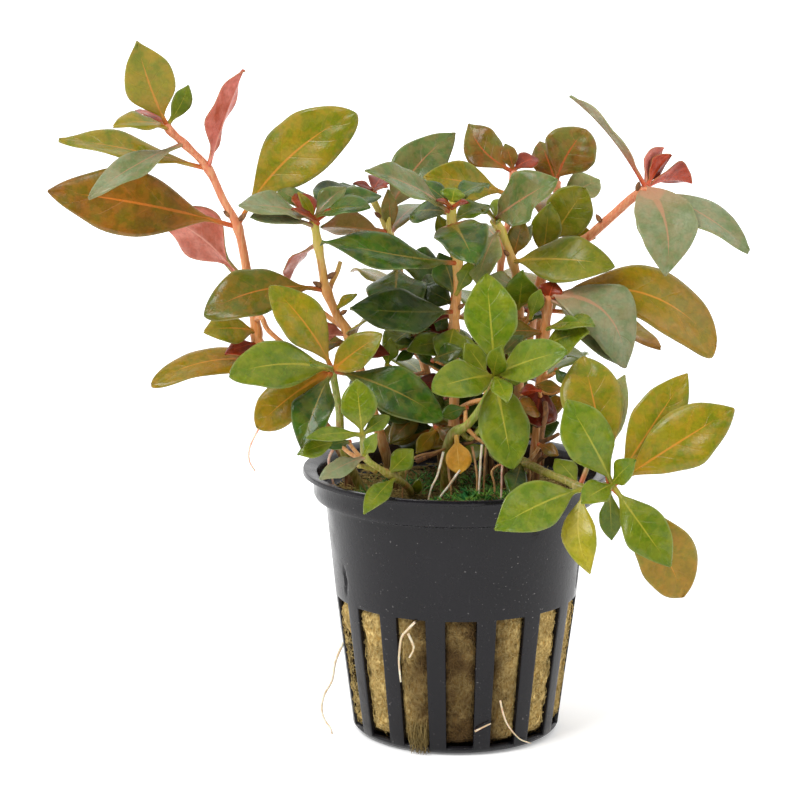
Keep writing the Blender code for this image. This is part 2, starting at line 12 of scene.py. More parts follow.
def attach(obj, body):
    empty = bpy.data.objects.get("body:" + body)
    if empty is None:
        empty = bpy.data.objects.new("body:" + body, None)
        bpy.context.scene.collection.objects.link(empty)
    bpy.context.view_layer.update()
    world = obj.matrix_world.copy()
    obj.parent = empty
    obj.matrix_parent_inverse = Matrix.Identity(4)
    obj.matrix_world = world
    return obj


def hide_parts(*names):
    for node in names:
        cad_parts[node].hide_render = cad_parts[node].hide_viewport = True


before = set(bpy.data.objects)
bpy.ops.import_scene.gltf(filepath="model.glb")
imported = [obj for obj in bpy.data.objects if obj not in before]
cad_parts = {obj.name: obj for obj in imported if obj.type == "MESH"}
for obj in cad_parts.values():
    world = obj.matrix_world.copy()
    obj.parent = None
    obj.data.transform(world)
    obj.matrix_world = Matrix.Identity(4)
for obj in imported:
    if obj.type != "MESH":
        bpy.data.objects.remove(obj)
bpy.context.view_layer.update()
bpy.ops.object.select_all(action="DESELECT")

# Camera: a long lens that looks down on the plant from a little above the pot's rim, as in a
# studio photograph of goods for sale.
CAMERA_PLACE = (0.0, -0.505, 0.162)
CAMERA_TILT = 78.6
CAMERA_TURN = 1.146
LENS_MM = 130.23
SENSOR_MM = 36.0

bpy.ops.object.camera_add(
    location=CAMERA_PLACE, rotation=(math.radians(CAMERA_TILT), 0, math.radians(CAMERA_TURN))
)
camera = bpy.context.object
camera.data.lens = LENS_MM
camera.data.sensor_width = SENSOR_MM
bpy.context.scene.camera = camera

# Net pot: one thin injection-moulded shell of black polypropylene with fifteen slots in its lower
# wall, a plain band under a flared lip, and slots in its base for the roots.
MM = 0.001
LIP_RADIUS = 27.5
BAND_RADIUS = 25.5
POT_HEIGHT = 48.2
BAND_BOTTOM = 42.6
BODY_TOP_RADIUS = 23.4
FOOT_RADIUS = 18.6
BASE_RADIUS = 17.4
POT_WALL = 0.9
SLOT_BOTTOM = 1.2
SLOT_TOP = 25.3
SLOT_TOP_RADIUS = 21.7
BASE_SLOT_INNER = 6.0
BASE_SLOT_OUTER = 14.0
SLOTS = 15
SLOT_TURN = 2.4        # degrees from the front to the middle of the nearest slot
POT_STEPS = 270        # flats round the pot, 18 to each slot and bar
SLOT_STEPS = 11
PIP_ANGLES = (-62.0, 7.5, 78.0, 150.0, 222.0)  # degrees from the front
PIP_HEIGHT = 29.5
PIP_LENGTH = 6.0
PIP_WIDTH = 1.0
PIP_DEPTH = 0.7
POT_CORNER = 0.14      # rounding of every moulded edge
POT_WOBBLE = 0.06      # how far a thin moulded wall strays from a true circle


def ring_radius(profile, height):
    """The radius of a profile of (radius, height) pairs at a height."""
    for (low_radius, low), (high_radius, high) in zip(profile, profile[1:]):
        if height <= high:
            return low_radius + (high_radius - low_radius) * max(0.0, (height - low) / (high - low))
    return profile[-1][0]


def turned(name, steps, profile, turn=0.0):
    """A circle drawn up ring by ring through (radius, height) pairs, as an open wall."""
    radius, height = profile[0]
    bpy.ops.mesh.primitive_circle_add(
        vertices=steps, radius=radius * MM, location=(0, 0, height * MM), rotation=(0, 0, turn)
    )
    wall = bpy.context.object
    wall.name = name
    bpy.ops.object.transform_apply(location=True, rotation=True)
    bpy.ops.object.mode_set(mode="EDIT")
    bpy.ops.mesh.select_mode(type="EDGE")
    bpy.ops.mesh.select_all(action="SELECT")
    for next_radius, next_height in profile[1:]:
        bpy.ops.mesh.extrude_edges_move(
            TRANSFORM_OT_translate={"value": (0, 0, (next_height - height) * MM)}
        )
        grow = next_radius / radius
        bpy.ops.transform.resize(value=(grow, grow, 1), center_override=(0, 0, next_height * MM))
        radius, height = next_radius, next_height
    bpy.ops.object.mode_set(mode="OBJECT")
    return wall


def close_ring(wall, height):
    """Fills the open ring of a turned wall that lies at this height."""
    mesh = wall.data
    bpy.ops.object.mode_set(mode="EDIT")
    bpy.ops.mesh.select_mode(type="EDGE")
    bpy.ops.mesh.select_all(action="DESELECT")
    bpy.ops.mesh.select_non_manifold(extend=False)
    bpy.ops.object.mode_set(mode="OBJECT")
    for edge in mesh.edges:
        if edge.select:
            edge.select = abs(mesh.vertices[edge.vertices[0]].co.z - height * MM) < 1e-6
    bpy.ops.object.mode_set(mode="EDIT")
    bpy.ops.mesh.edge_face_add()
    bpy.ops.mesh.normals_make_consistent(inside=False)
    bpy.ops.object.mode_set(mode="OBJECT")


def apply_modifier(piece, kind, **settings):
    """Adds a modifier with its settings and applies it."""
    step = piece.modifiers.new(kind.lower(), kind)
    for name, value in settings.items():
        setattr(step, name, value)
    bpy.context.view_layer.objects.active = piece
    bpy.ops.object.modifier_apply(modifier=step.name)


def angle_from_front(point):
    """Degrees round the pot from its front, from -180 to 180, growing towards the viewer's right."""
    return math.degrees(math.atan2(point.x, -point.y))


def linear(hex_colour):
    """An sRGB hex colour as linear RGBA."""
    parts = [int(hex_colour[k : k + 2], 16) / 255 for k in (1, 3, 5)]
    return tuple(c / 12.92 if c <= 0.04045 else ((c + 0.055) / 1.055) ** 2.4 for c in parts) + (1.0,)


def add_node(tree, kind, sockets=(), **settings):
    """Adds a node, sets its properties, then fills its sockets with values or with other outputs."""
    node = tree.nodes.new(kind)
    for name, value in settings.items():
        setattr(node, name, value)
    for key, value in dict(sockets).items():
        if isinstance(value, bpy.types.NodeSocket):
            tree.links.new(value, node.inputs[key])
        else:
            node.inputs[key].default_value = value
    return node


def new_finish(name, **shader_values):
    """A material with its shader's plain values set, and that shader, and the object coordinates."""
    finish = bpy.data.materials.new(name)
    finish.use_nodes = True
    tree = finish.node_tree
    shader = tree.nodes["Principled BSDF"]
    for socket, value in shader_values.items():
        shader.inputs[socket.replace("_", " ")].default_value = value
    place = add_node(tree, "ShaderNodeTexCoord").outputs["Object"]
    return finish, tree, shader, place


def grain(tree, place, size_mm, detail=3.0, stretch=(1, 1, 1)):
    """Noise whose lumps are about this many millimetres across, drawn out by the stretch."""
    scaled = add_node(tree, "ShaderNodeVectorMath", {0: place, 1: stretch}, operation="MULTIPLY")
    sockets = {"Vector": scaled.outputs[0], "Scale": 1 / (size_mm * MM), "Detail": detail}
    return add_node(tree, "ShaderNodeTexNoise", sockets).outputs["Fac"]


def between(tree, value, low, high, to_low=0.0, to_high=1.0):
    """A value taken from one range to another, smoothly and held at its ends."""
    sockets = {"Value": value, "From Min": low, "From Max": high, "To Min": to_low, "To Max": to_high}
    return add_node(
        tree, "ShaderNodeMapRange", sockets, interpolation_type="SMOOTHSTEP"
    ).outputs["Result"]


def sum_of(tree, operation, first, second, third=0.0):
    """One Math node."""
    return add_node(tree, "ShaderNodeMath", {0: first, 1: second, 2: third}, operation=operation).outputs[0]


def blended(tree, share, first, second, how="MIX"):
    """One colour laid over another by a share."""
    sockets = {"Factor": share, "A": first, "B": second}
    mix = tree.nodes.new("ShaderNodeMix")
    mix.data_type = "RGBA"
    mix.blend_type = how
    for socket in mix.inputs:
        if socket.type in ("RGBA", "VALUE") and socket.name in sockets and socket.enabled:
            value = sockets[socket.name]
            if isinstance(value, bpy.types.NodeSocket):
                tree.links.new(value, socket)
            else:
                socket.default_value = value
    return next(out for out in mix.outputs if out.type == "RGBA" and out.enabled)


def raise_surface(tree, shader, height, depth_mm):
    """Bump of this depth in millimetres from a height between 0 and 1."""
    bump = add_node(tree, "ShaderNodeBump", {"Height": height, "Distance": depth_mm * MM})
    tree.links.new(bump.outputs["Normal"], shader.inputs["Normal"])


def pot_finish():
    """Polypropylene, moulded: a dark grey skin with a soft shine, dusty specks and fine scratches,
    and a film of brown dirt inside the rim, where water has dried."""
    finish, tree, shader, place = new_finish(
        "moulded_polypropylene", Roughness=0.3, IOR=1.49, Specular_IOR_Level=0.25
    )
    colour = blended(tree, grain(tree, place, 9.0), linear("#0f0e11"), linear("#161418"))
    scratch = between(tree, grain(tree, place, 0.35, 2.0, (6, 6, 0.5)), 0.66, 0.74)
    patch = between(tree, grain(tree, place, 7.0, 1.0), 0.5, 0.62)
    scratched = sum_of(tree, "MULTIPLY", scratch, patch)
    colour = blended(tree, sum_of(tree, "MULTIPLY", scratched, 0.45), colour, linear("#66636a"))
    dusty = between(tree, grain(tree, place, 9.0, 1.0, (1, 1, 0.7)), 0.45, 0.65, 0.0, 0.06)
    speck = between(tree, sum_of(tree, "ADD", grain(tree, place, 0.4, 1.0), dusty), 0.77, 0.83)
    colour = blended(tree, sum_of(tree, "MULTIPLY", speck, 0.7), colour, linear("#7c7977"))
    spot = between(tree, grain(tree, place, 0.9, 0.0), 0.225, 0.2)
    colour = blended(tree, sum_of(tree, "MULTIPLY", spot, 0.8), colour, linear("#141316"))
    axes = add_node(tree, "ShaderNodeSeparateXYZ", {0: place})
    level = add_node(tree, "ShaderNodeVectorMath", {0: place, 1: (1, 1, 0)}, operation="MULTIPLY")
    radius = add_node(tree, "ShaderNodeVectorMath", {0: level.outputs[0]}, operation="LENGTH").outputs["Value"]
    edge = sum_of(tree, "ADD", radius, sum_of(tree, "MULTIPLY", grain(tree, place, 2.0), 0.8 * MM))
    inside = between(tree, edge, (BAND_RADIUS - 0.1) * MM, (BAND_RADIUS - 0.5) * MM)
    high = between(tree, axes.outputs["Z"], 43.8 * MM, 45 * MM)
    dirt = sum_of(tree, "MULTIPLY", sum_of(tree, "MULTIPLY", inside, high), grain(tree, place, 1.2))
    colour = blended(tree, sum_of(tree, "MULTIPLY", dirt, 1.9), colour, linear("#2e231c"))
    tree.links.new(colour, shader.inputs["Base Color"])
    rough = between(tree, grain(tree, place, 4.0), 0.3, 0.7, 0.18, 0.3)
    tree.links.new(rough, shader.inputs["Roughness"])
    relief = sum_of(tree, "ADD", grain(tree, place, 0.6), sum_of(tree, "MULTIPLY", grain(tree, place, 12.0), 4.0))
    raise_surface(tree, shader, relief, 0.03)
    return finish


def make_net_pot():
    """The wall's outer face is drawn up, its slots are taken out, and it is given its thickness."""
    slot_rows = [SLOT_BOTTOM + (SLOT_TOP - SLOT_BOTTOM) * k / 14 for k in range(15)]
    body_rows = [SLOT_TOP + (BAND_BOTTOM - SLOT_TOP) * k / 24 for k in range(1, 24)]
    straight = [(FOOT_RADIUS, SLOT_BOTTOM), (SLOT_TOP_RADIUS, SLOT_TOP), (BODY_TOP_RADIUS, BAND_BOTTOM)]
    profile = [(BASE_SLOT_INNER, 0), (10, 0), (BASE_SLOT_OUTER, 0), (16.4, 0), (BASE_RADIUS, 0.25)]
    profile += [(18.2, 0.7)]
    profile += [(ring_radius(straight, height), height) for height in slot_rows + body_rows]
    profile += [(BODY_TOP_RADIUS, BAND_BOTTOM - 0.1), (BODY_TOP_RADIUS + 0.5, BAND_BOTTOM + 0.05)]
    profile += [(BAND_RADIUS - 0.3, BAND_BOTTOM + 0.5), (BAND_RADIUS, BAND_BOTTOM + 1.1)]
    profile += [(BAND_RADIUS, 44.8), (BAND_RADIUS, 46.2), (BAND_RADIUS + 0.2, 46.9)]
    profile += [(BAND_RADIUS + 0.9, 47.15), (LIP_RADIUS, POT_HEIGHT - POT_WALL)]
    step = 360 / POT_STEPS
    first_slot_edge = -90 + SLOT_TURN + step / 2
    turn = math.radians((first_slot_edge - 90) % step)
    pot = turned("net_pot_shell", POT_STEPS, profile, turn)
    close_ring(pot, 0)
    mesh = pot.data
    slot_half = SLOT_STEPS * step / 2
    for face in mesh.polygons:
        turn_in_pitch = (angle_from_front(face.center) - SLOT_TURN + 12) % (360 / SLOTS) - 12
        height = face.center.z / MM
        in_wall_slot = SLOT_BOTTOM < height < SLOT_TOP
        in_base_slot = height < 0.01 and BASE_SLOT_INNER < face.center.length / MM < BASE_SLOT_OUTER
        face.select = abs(turn_in_pitch) < slot_half and (in_wall_slot or in_base_slot)
        if len(face.vertices) > 4:
            face.select = False
    bpy.ops.object.mode_set(mode="EDIT")
    bpy.ops.mesh.select_mode(type="FACE")
    bpy.ops.object.mode_set(mode="OBJECT")
    bpy.ops.object.mode_set(mode="EDIT")
    bpy.ops.mesh.delete(type="FACE")
    bpy.ops.object.mode_set(mode="OBJECT")
    for vertex in mesh.vertices:
        here = vertex.co / MM
        round_pot = Vector((here.x, here.y, 0))
        if here.z < 2 or round_pot.length < 1:
            continue
        outward = round_pot.normalized()
        depth = 0.0
        for angle in PIP_ANGLES:
            off = (angle_from_front(here) - angle + 180) % 360 - 180
            across = math.radians(off) * round_pot.length / (PIP_WIDTH / 2)
            upward = (here.z - PIP_HEIGHT) / (PIP_LENGTH / 2)
            lens = 1 - upward * upward
            if lens > 0 and abs(across) < lens:
                depth = PIP_DEPTH * (1 - abs(across) / lens) * lens
        stray = POT_WOBBLE * noise.noise(here * 0.06) - depth
        vertex.co = (here + outward * stray) * MM
    apply_modifier(pot, "SOLIDIFY", thickness=POT_WALL * MM, offset=-1, use_even_offset=True)
    apply_modifier(
        pot, "BEVEL", width=POT_CORNER * MM, segments=2, limit_method="ANGLE", angle_limit=math.radians(50)
    )
    pot.data.materials.append(pot_finish())
    bpy.ops.object.select_all(action="DESELECT")
    pot.select_set(True)
    bpy.ops.object.shade_smooth_by_angle(angle=math.radians(35))
    pot.select_set(False)
    return pot


net_pot = make_net_pot()
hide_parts("net_pot")
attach(net_pot, "root")

# Wool plug: spun mineral wool pressed into the pot round the roots. It fills the pot to just under
# the rim, swells a little into the slots, and has shrunk away from the wall at its lower left.
WOOL_BOTTOM = 0.95
WOOL_TOP = 42.6
WOOL_GAP = 0.25        # between the plug and the pot's inner wall
WOOL_SWELL = 0.75      # how far the plug pushes into a slot
WOOL_ROUGH = 0.5
FOOT_RAGGED = 1.5      # how far the plug draws back at its foot
FOOT_HEIGHT = 4.2
WOOL_STEPS = 180
WOOL_ROWS = 64
HOLLOW_ANGLE = -86.0
HOLLOW_SPREAD = 20.0
HOLLOW_DEPTH = 5.0
HOLLOW_MIDDLE = 11.5
HOLLOW_HALF = 8.0
MOUNDS = (             # where the plug's top rises: x, y, spread across, spread deep, height
    (4, -16, 12, 6, 3.0),
    (-14, -11, 6, 6, 2.0),
    (13, 6, 7, 6, 1.2),
)
POT_INSIDE = [
    (FOOT_RADIUS - POT_WALL, SLOT_BOTTOM),
    (SLOT_TOP_RADIUS - POT_WALL, SLOT_TOP),
    (BODY_TOP_RADIUS - POT_WALL, BAND_BOTTOM),
]


FRONT_SHADE_PLACE = 0.5       # across the front, where the wool is darkened with painted shade
FRONT_SHADE_HALF = 5.5


def wool_radius(angle, height):
    """How far out the plug reaches at an angle from the front and a height."""
    in_pitch = (angle - SLOT_TURN + 12) % (360 / SLOTS) - 12
    slot_half = 180 * SLOT_STEPS / POT_STEPS
    swell = max(0.0, 1 - (abs(in_pitch) / slot_half) ** 4)
    swell *= max(0.0, min(1.0, (SLOT_TOP - height) / 1.5)) * max(0.0, min(1.0, (height - 2) / 2))
    off = (angle - HOLLOW_ANGLE) / HOLLOW_SPREAD
    hollow = HOLLOW_DEPTH * math.exp(-off * off) * max(0.0, 1 - ((height - HOLLOW_MIDDLE) / HOLLOW_HALF) ** 4)
    ragged = 0.5 + 1.4 * noise.noise(Vector((angle * 0.11, 3.0, height * 0.4)))
    foot = FOOT_RAGGED * max(0.0, ragged) * max(0.0, 1 - height / FOOT_HEIGHT)
    return ring_radius(POT_INSIDE, height) - WOOL_GAP + WOOL_SWELL * swell - hollow - foot


def wool_top(x, y):
    """The height of the plug's top at a place."""
    rise = sum(
        height * math.exp(-(((x - x_middle) / across) ** 2) - ((y - y_middle) / deep) ** 2)
        for x_middle, y_middle, across, deep, height in MOUNDS
    )
    return WOOL_TOP + rise


def wool_finish(name, light, dark, shade_and_patch_colour):
    """Spun mineral fibre: dull, finely matted, tan, with painted shade in a browner band down the front and browner
    patches.
    """
    finish, tree, shader, place = new_finish(name, Roughness=0.95, IOR=1.4)
    strand = between(tree, grain(tree, place, 0.45, 5.0, (1, 1, 0.6)), 0.3, 0.7)
    across = add_node(tree, "ShaderNodeSeparateXYZ", {0: place}).outputs["X"]
    # The browner band down the front is painted shade; the uneven part adds browner patches at random.
    off_front_shade = sum_of(tree, "ABSOLUTE", sum_of(tree, "SUBTRACT", across, FRONT_SHADE_PLACE * MM), 0)
    front = between(tree, off_front_shade, FRONT_SHADE_HALF * 2.4 * MM, FRONT_SHADE_HALF * MM)
    uneven = between(tree, grain(tree, place, 5.0, 3.0), 0.36, 0.62)
    front_shade_and_patches = sum_of(tree, "MULTIPLY_ADD", front, 0.76, sum_of(tree, "MULTIPLY", uneven, 0.22))
    colour = blended(tree, strand, linear(dark), linear(light))
    colour = blended(tree, front_shade_and_patches, colour, linear(shade_and_patch_colour))
    fleck = between(tree, grain(tree, place, 0.7, 2.0, (1, 1, 0.5)), 0.64, 0.72)
    colour = blended(tree, sum_of(tree, "MULTIPLY", fleck, 0.5), colour, linear("#3a2812"))
    tree.links.new(colour, shader.inputs["Base Color"])
    raise_surface(tree, shader, strand, 0.3)
    return finish


def make_wool_plug():
    rows = [WOOL_BOTTOM + (WOOL_TOP - WOOL_BOTTOM) * k / WOOL_ROWS for k in range(WOOL_ROWS + 1)]
    profile = [(10, WOOL_BOTTOM), (14, WOOL_BOTTOM)] + [(16, height) for height in rows]
    profile += [(radius, WOOL_TOP) for radius in (14, 12, 10, 8, 6, 4, 2)]
    plug = turned("wool_plug_body", WOOL_STEPS, profile)
    close_ring(plug, WOOL_BOTTOM)
    top = max(range(len(plug.data.vertices)), key=lambda k: plug.data.vertices[k].co.z)
    close_ring(plug, plug.data.vertices[top].co.z / MM)
    for vertex in plug.data.vertices:
        here = vertex.co / MM
        angle = angle_from_front(here)
        flat = Vector((here.x, here.y, 0))
        outward = flat.normalized() if flat.length > 0.1 else Vector()
        reach = flat.length
        lump = noise.fractal(here * 0.5, 0.9, 2.0, 4) * WOOL_ROUGH
        if reach > 15.5:
            round_edge = max(0.0, 1.5 - min(here.z - WOOL_BOTTOM, WOOL_TOP - here.z))
            reach = wool_radius(angle, here.z) - round_edge + lump
        elif here.z > WOOL_TOP - 0.1:
            reach *= wool_radius(angle, here.z) / 16
        place = outward * reach
        rise = lump * 1.6 + wool_top(place.x, place.y) - WOOL_TOP if here.z > WOOL_TOP - 1 else 0.0
        vertex.co = (place + Vector((0, 0, here.z + rise))) * MM
    plug.data.materials.append(wool_finish("spun_mineral_wool", "#ecce86", "#a88440", "#48320f"))
    plug.data.shade_smooth()
    return plug


def tubes(name, paths, sides=0, smooth=True):
    """Round strands as one mesh. Each path is a list of (x, y, z, radius) in millimetres."""
    curve = bpy.data.curves.new(name, "CURVE")
    curve.dimensions = "3D"
    curve.bevel_depth = MM
    curve.bevel_resolution = sides
    curve.use_fill_caps = True
    for path in paths:
        spline = curve.splines.new("POLY")
        spline.points.add(len(path) - 1)
        for point, (x, y, z, radius) in zip(spline.points, path):
            point.co = (x * MM, y * MM, z * MM, 1)
            point.radius = radius
    strands = bpy.data.objects.new(name, curve)
    bpy.context.collection.objects.link(strands)
    bpy.ops.object.select_all(action="DESELECT")
    strands.select_set(True)
    bpy.context.view_layer.objects.active = strands
    bpy.ops.object.convert(target="MESH")
    strands = bpy.context.object
    bpy.ops.object.mode_set(mode="EDIT")
    bpy.ops.mesh.select_all(action="SELECT")
    bpy.ops.mesh.remove_doubles(threshold=0.000002)
    bpy.ops.mesh.normals_make_consistent(inside=False)
    bpy.ops.object.mode_set(mode="OBJECT")
    if smooth:
        strands.data.shade_smooth()
    strands.select_set(False)
    return strands


def finished(piece, finish, slot, *nodes):
    """Gives a piece its material and its place in the model."""
    piece.data.materials.clear()
    piece.data.materials.append(finish)
    if nodes:
        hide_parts(*nodes)
    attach(piece, "root")


wool_plug = make_wool_plug()
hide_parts("wool_plug")
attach(wool_plug, "root")

# Wool fibres: loose strands that stand off the plug in the slots, lie matted on its top, and poke
# out under the third slot. Real ones are far finer, so these are as coarse as shows.
SIDE_FIBRES = 3000
TOP_FIBRES = 1700
FIBRE_THICK = (0.035, 0.07)


def fibre_on_side(rng):
    """A strand that wanders up the plug's side in one of the slots."""
    angle = SLOT_TURN + rng.randrange(SLOTS) * 360 / SLOTS + rng.uniform(-6.5, 6.5)
    height = rng.uniform(2.5, SLOT_TOP - 1)
    heading = rng.uniform(0, 2 * math.pi)
    thick = rng.uniform(*FIBRE_THICK)
    length = rng.uniform(0.8, 3.2)
    bend = rng.gauss(0, 0.4)
    lift = rng.uniform(0.0, 0.45)
    path = []
    for k in range(6):
        radius = wool_radius(angle, height) + 0.12 + lift * math.sin(math.pi * k / 5)
        turn = math.radians(angle)
        path.append((radius * math.sin(turn), -radius * math.cos(turn), height, thick * (1 - 0.1 * k)))
        heading += bend
        height = max(1.6, min(SLOT_TOP - 0.3, height + math.cos(heading) * length / 5))
        angle += math.degrees(math.sin(heading) * length / 5 / radius)
    return path


def fibre_on_top(rng):
    """A strand that lies in loose curls on the plug's top."""
    turn = rng.uniform(0, 2 * math.pi)
    reach = 21.5 * math.sqrt(rng.random())
    x, y = reach * math.sin(turn), reach * math.cos(turn)
    z = wool_top(x, y) + rng.uniform(-0.2, 1.6)
    heading = rng.uniform(0, 2 * math.pi)
    thick = rng.uniform(*FIBRE_THICK) * 1.4
    path = []
    for _ in range(7):
        path.append((x, y, z, thick))
        heading += rng.gauss(0, 0.6)
        x += math.cos(heading) * 0.8
        y += math.sin(heading) * 0.8
        if math.hypot(x, y) > 22:
            x, y = x * 22 / math.hypot(x, y), y * 22 / math.hypot(x, y)
        z += rng.gauss(0, 0.18)
    return path


wool_rng = random.Random(11)
fibres = tubes(
    "wool_fibres_side", [fibre_on_side(wool_rng) for _ in range(SIDE_FIBRES)], smooth=False
)
finished(fibres, wool_finish("loose_mineral_fibre", "#f0d894", "#b09048", "#5c421c"), "mineral_wool")
fibres = tubes("wool_fibres_top", [fibre_on_top(wool_rng) for _ in range(TOP_FIBRES)], smooth=False)
finished(fibres, wool_finish("matted_top_fibre", "#d2ba78", "#97803e", "#58491f"), "mineral_wool")

TUFT_FIBRES = 110


def fibre_in_tuft(rng):
    """A strand that comes out of the foot of the slot and ends just over the ground."""
    turn = math.radians(SLOT_TURN - 24 + rng.uniform(-2.5, 6.2))
    radius = rng.uniform(17.6, 19.4)
    height = rng.uniform(4, 7)
    thick = rng.uniform(*FIBRE_THICK)
    path = []
    for k in range(6):
        path.append((radius * math.sin(turn), -radius * math.cos(turn), height, thick))
        height -= rng.uniform(0.5, 1.25)
        height = max(height, rng.uniform(0.15, 0.5))
        radius += rng.uniform(-0.12, 0.12)
        turn += rng.gauss(0, 0.012)
    return path


fibres = tubes("wool_tuft", [fibre_in_tuft(wool_rng) for _ in range(TUFT_FIBRES)], smooth=False)
finished(fibres, wool_finish("tuft_mineral_fibre", "#c2ad74", "#937b45", "#7d6838"), "mineral_wool")

# Moss: a mat of green algae and moss that has grown over the damp top of the wool, thickest at the
# middle and right, in tufts of short pointed leaves.
MOSS_SPRIGS = 1900
MOSS_PATCHES = (       # x, y, spread
    (3, -18, 3), (9, -17, 4), (14, -13, 4), (6, -12, 5), (-2, -19, 2.5), (-16, -13, 2.5), (9, -2, 8), (2, 8, 8),
    (-9, 4, 6),
)


def moss_sprig(rng):
    """A curved green thread from the wool upwards, thin at both ends."""
    x_middle, y_middle, spread = rng.choice(MOSS_PATCHES)
    x, y = rng.gauss(x_middle, spread * 0.55), rng.gauss(y_middle, spread * 0.55)
    reach = math.hypot(x, y)
    if reach > 21.5:
        x, y = x * 21.5 / reach, y * 21.5 / reach
    z = wool_top(x, y) + rng.uniform(-0.3, 0.5)
    lean, heading = rng.uniform(0.3, 1.6), rng.uniform(0, 2 * math.pi)
    rise = rng.uniform(0.3, 1.5)
    path = []
    for k in range(5):
        path.append((x, y, z, (0.05, 0.14, 0.17, 0.11, 0.03)[k]))
        x += math.cos(heading) * lean * 0.45
        y += math.sin(heading) * lean * 0.45
        z += rise * 0.4
        lean += 0.1
    return path


def moss_finish():
    """Wet moss: deep green with patches of yellower green, dull but for a faint wet shine."""
    finish, tree, shader, place = new_finish("wet_moss", Roughness=0.6, IOR=1.4)
    colour = blended(tree, between(tree, grain(tree, place, 2.0), 0.35, 0.65), linear("#1c6426"), linear("#6c942e"))
    fine = between(tree, grain(tree, place, 0.5), 0.4, 0.7)
    colour = blended(tree, sum_of(tree, "MULTIPLY", fine, 0.45), colour, linear("#0f401a"))
    tree.links.new(colour, shader.inputs["Base Color"])
    return finish


moss = tubes("moss_mat", [moss_sprig(wool_rng) for _ in range(MOSS_SPRIGS)], smooth=False)
finished(moss, moss_finish(), "leaf_green")

# Shoots: soft round stems that rise from the wool, thicker at each joint, orange low down and
# pinker or yellow-green higher up, with a thin waxy skin. They go on down into the wool.
def leaf(tone, root, tip, width, faces, arch, fold, sweep=0.0):
    """One leaf: where it leaves the stem, its tip, the way its upper side faces, how far the blade
    bows up and sideways, and how many degrees each half is folded up along the midrib."""
    return {
        "tone": tone,
        "root": Vector(root),
        "tip": Vector(tip),
        "width": width,
        "faces": Vector(faces),
        "arch": arch,
        "fold": math.radians(fold),
        "sweep": sweep,
    }


STEM_SINK = 39.0       # how low a stem reaches inside the wool
STEM_STEP = 0.7        # spacing of the rings along a stem
JOINT_SWELL = 0.32
JOINT_LENGTH = 1.3
ROOTED = 0.4           # how deep a leaf's stalk starts inside its stem

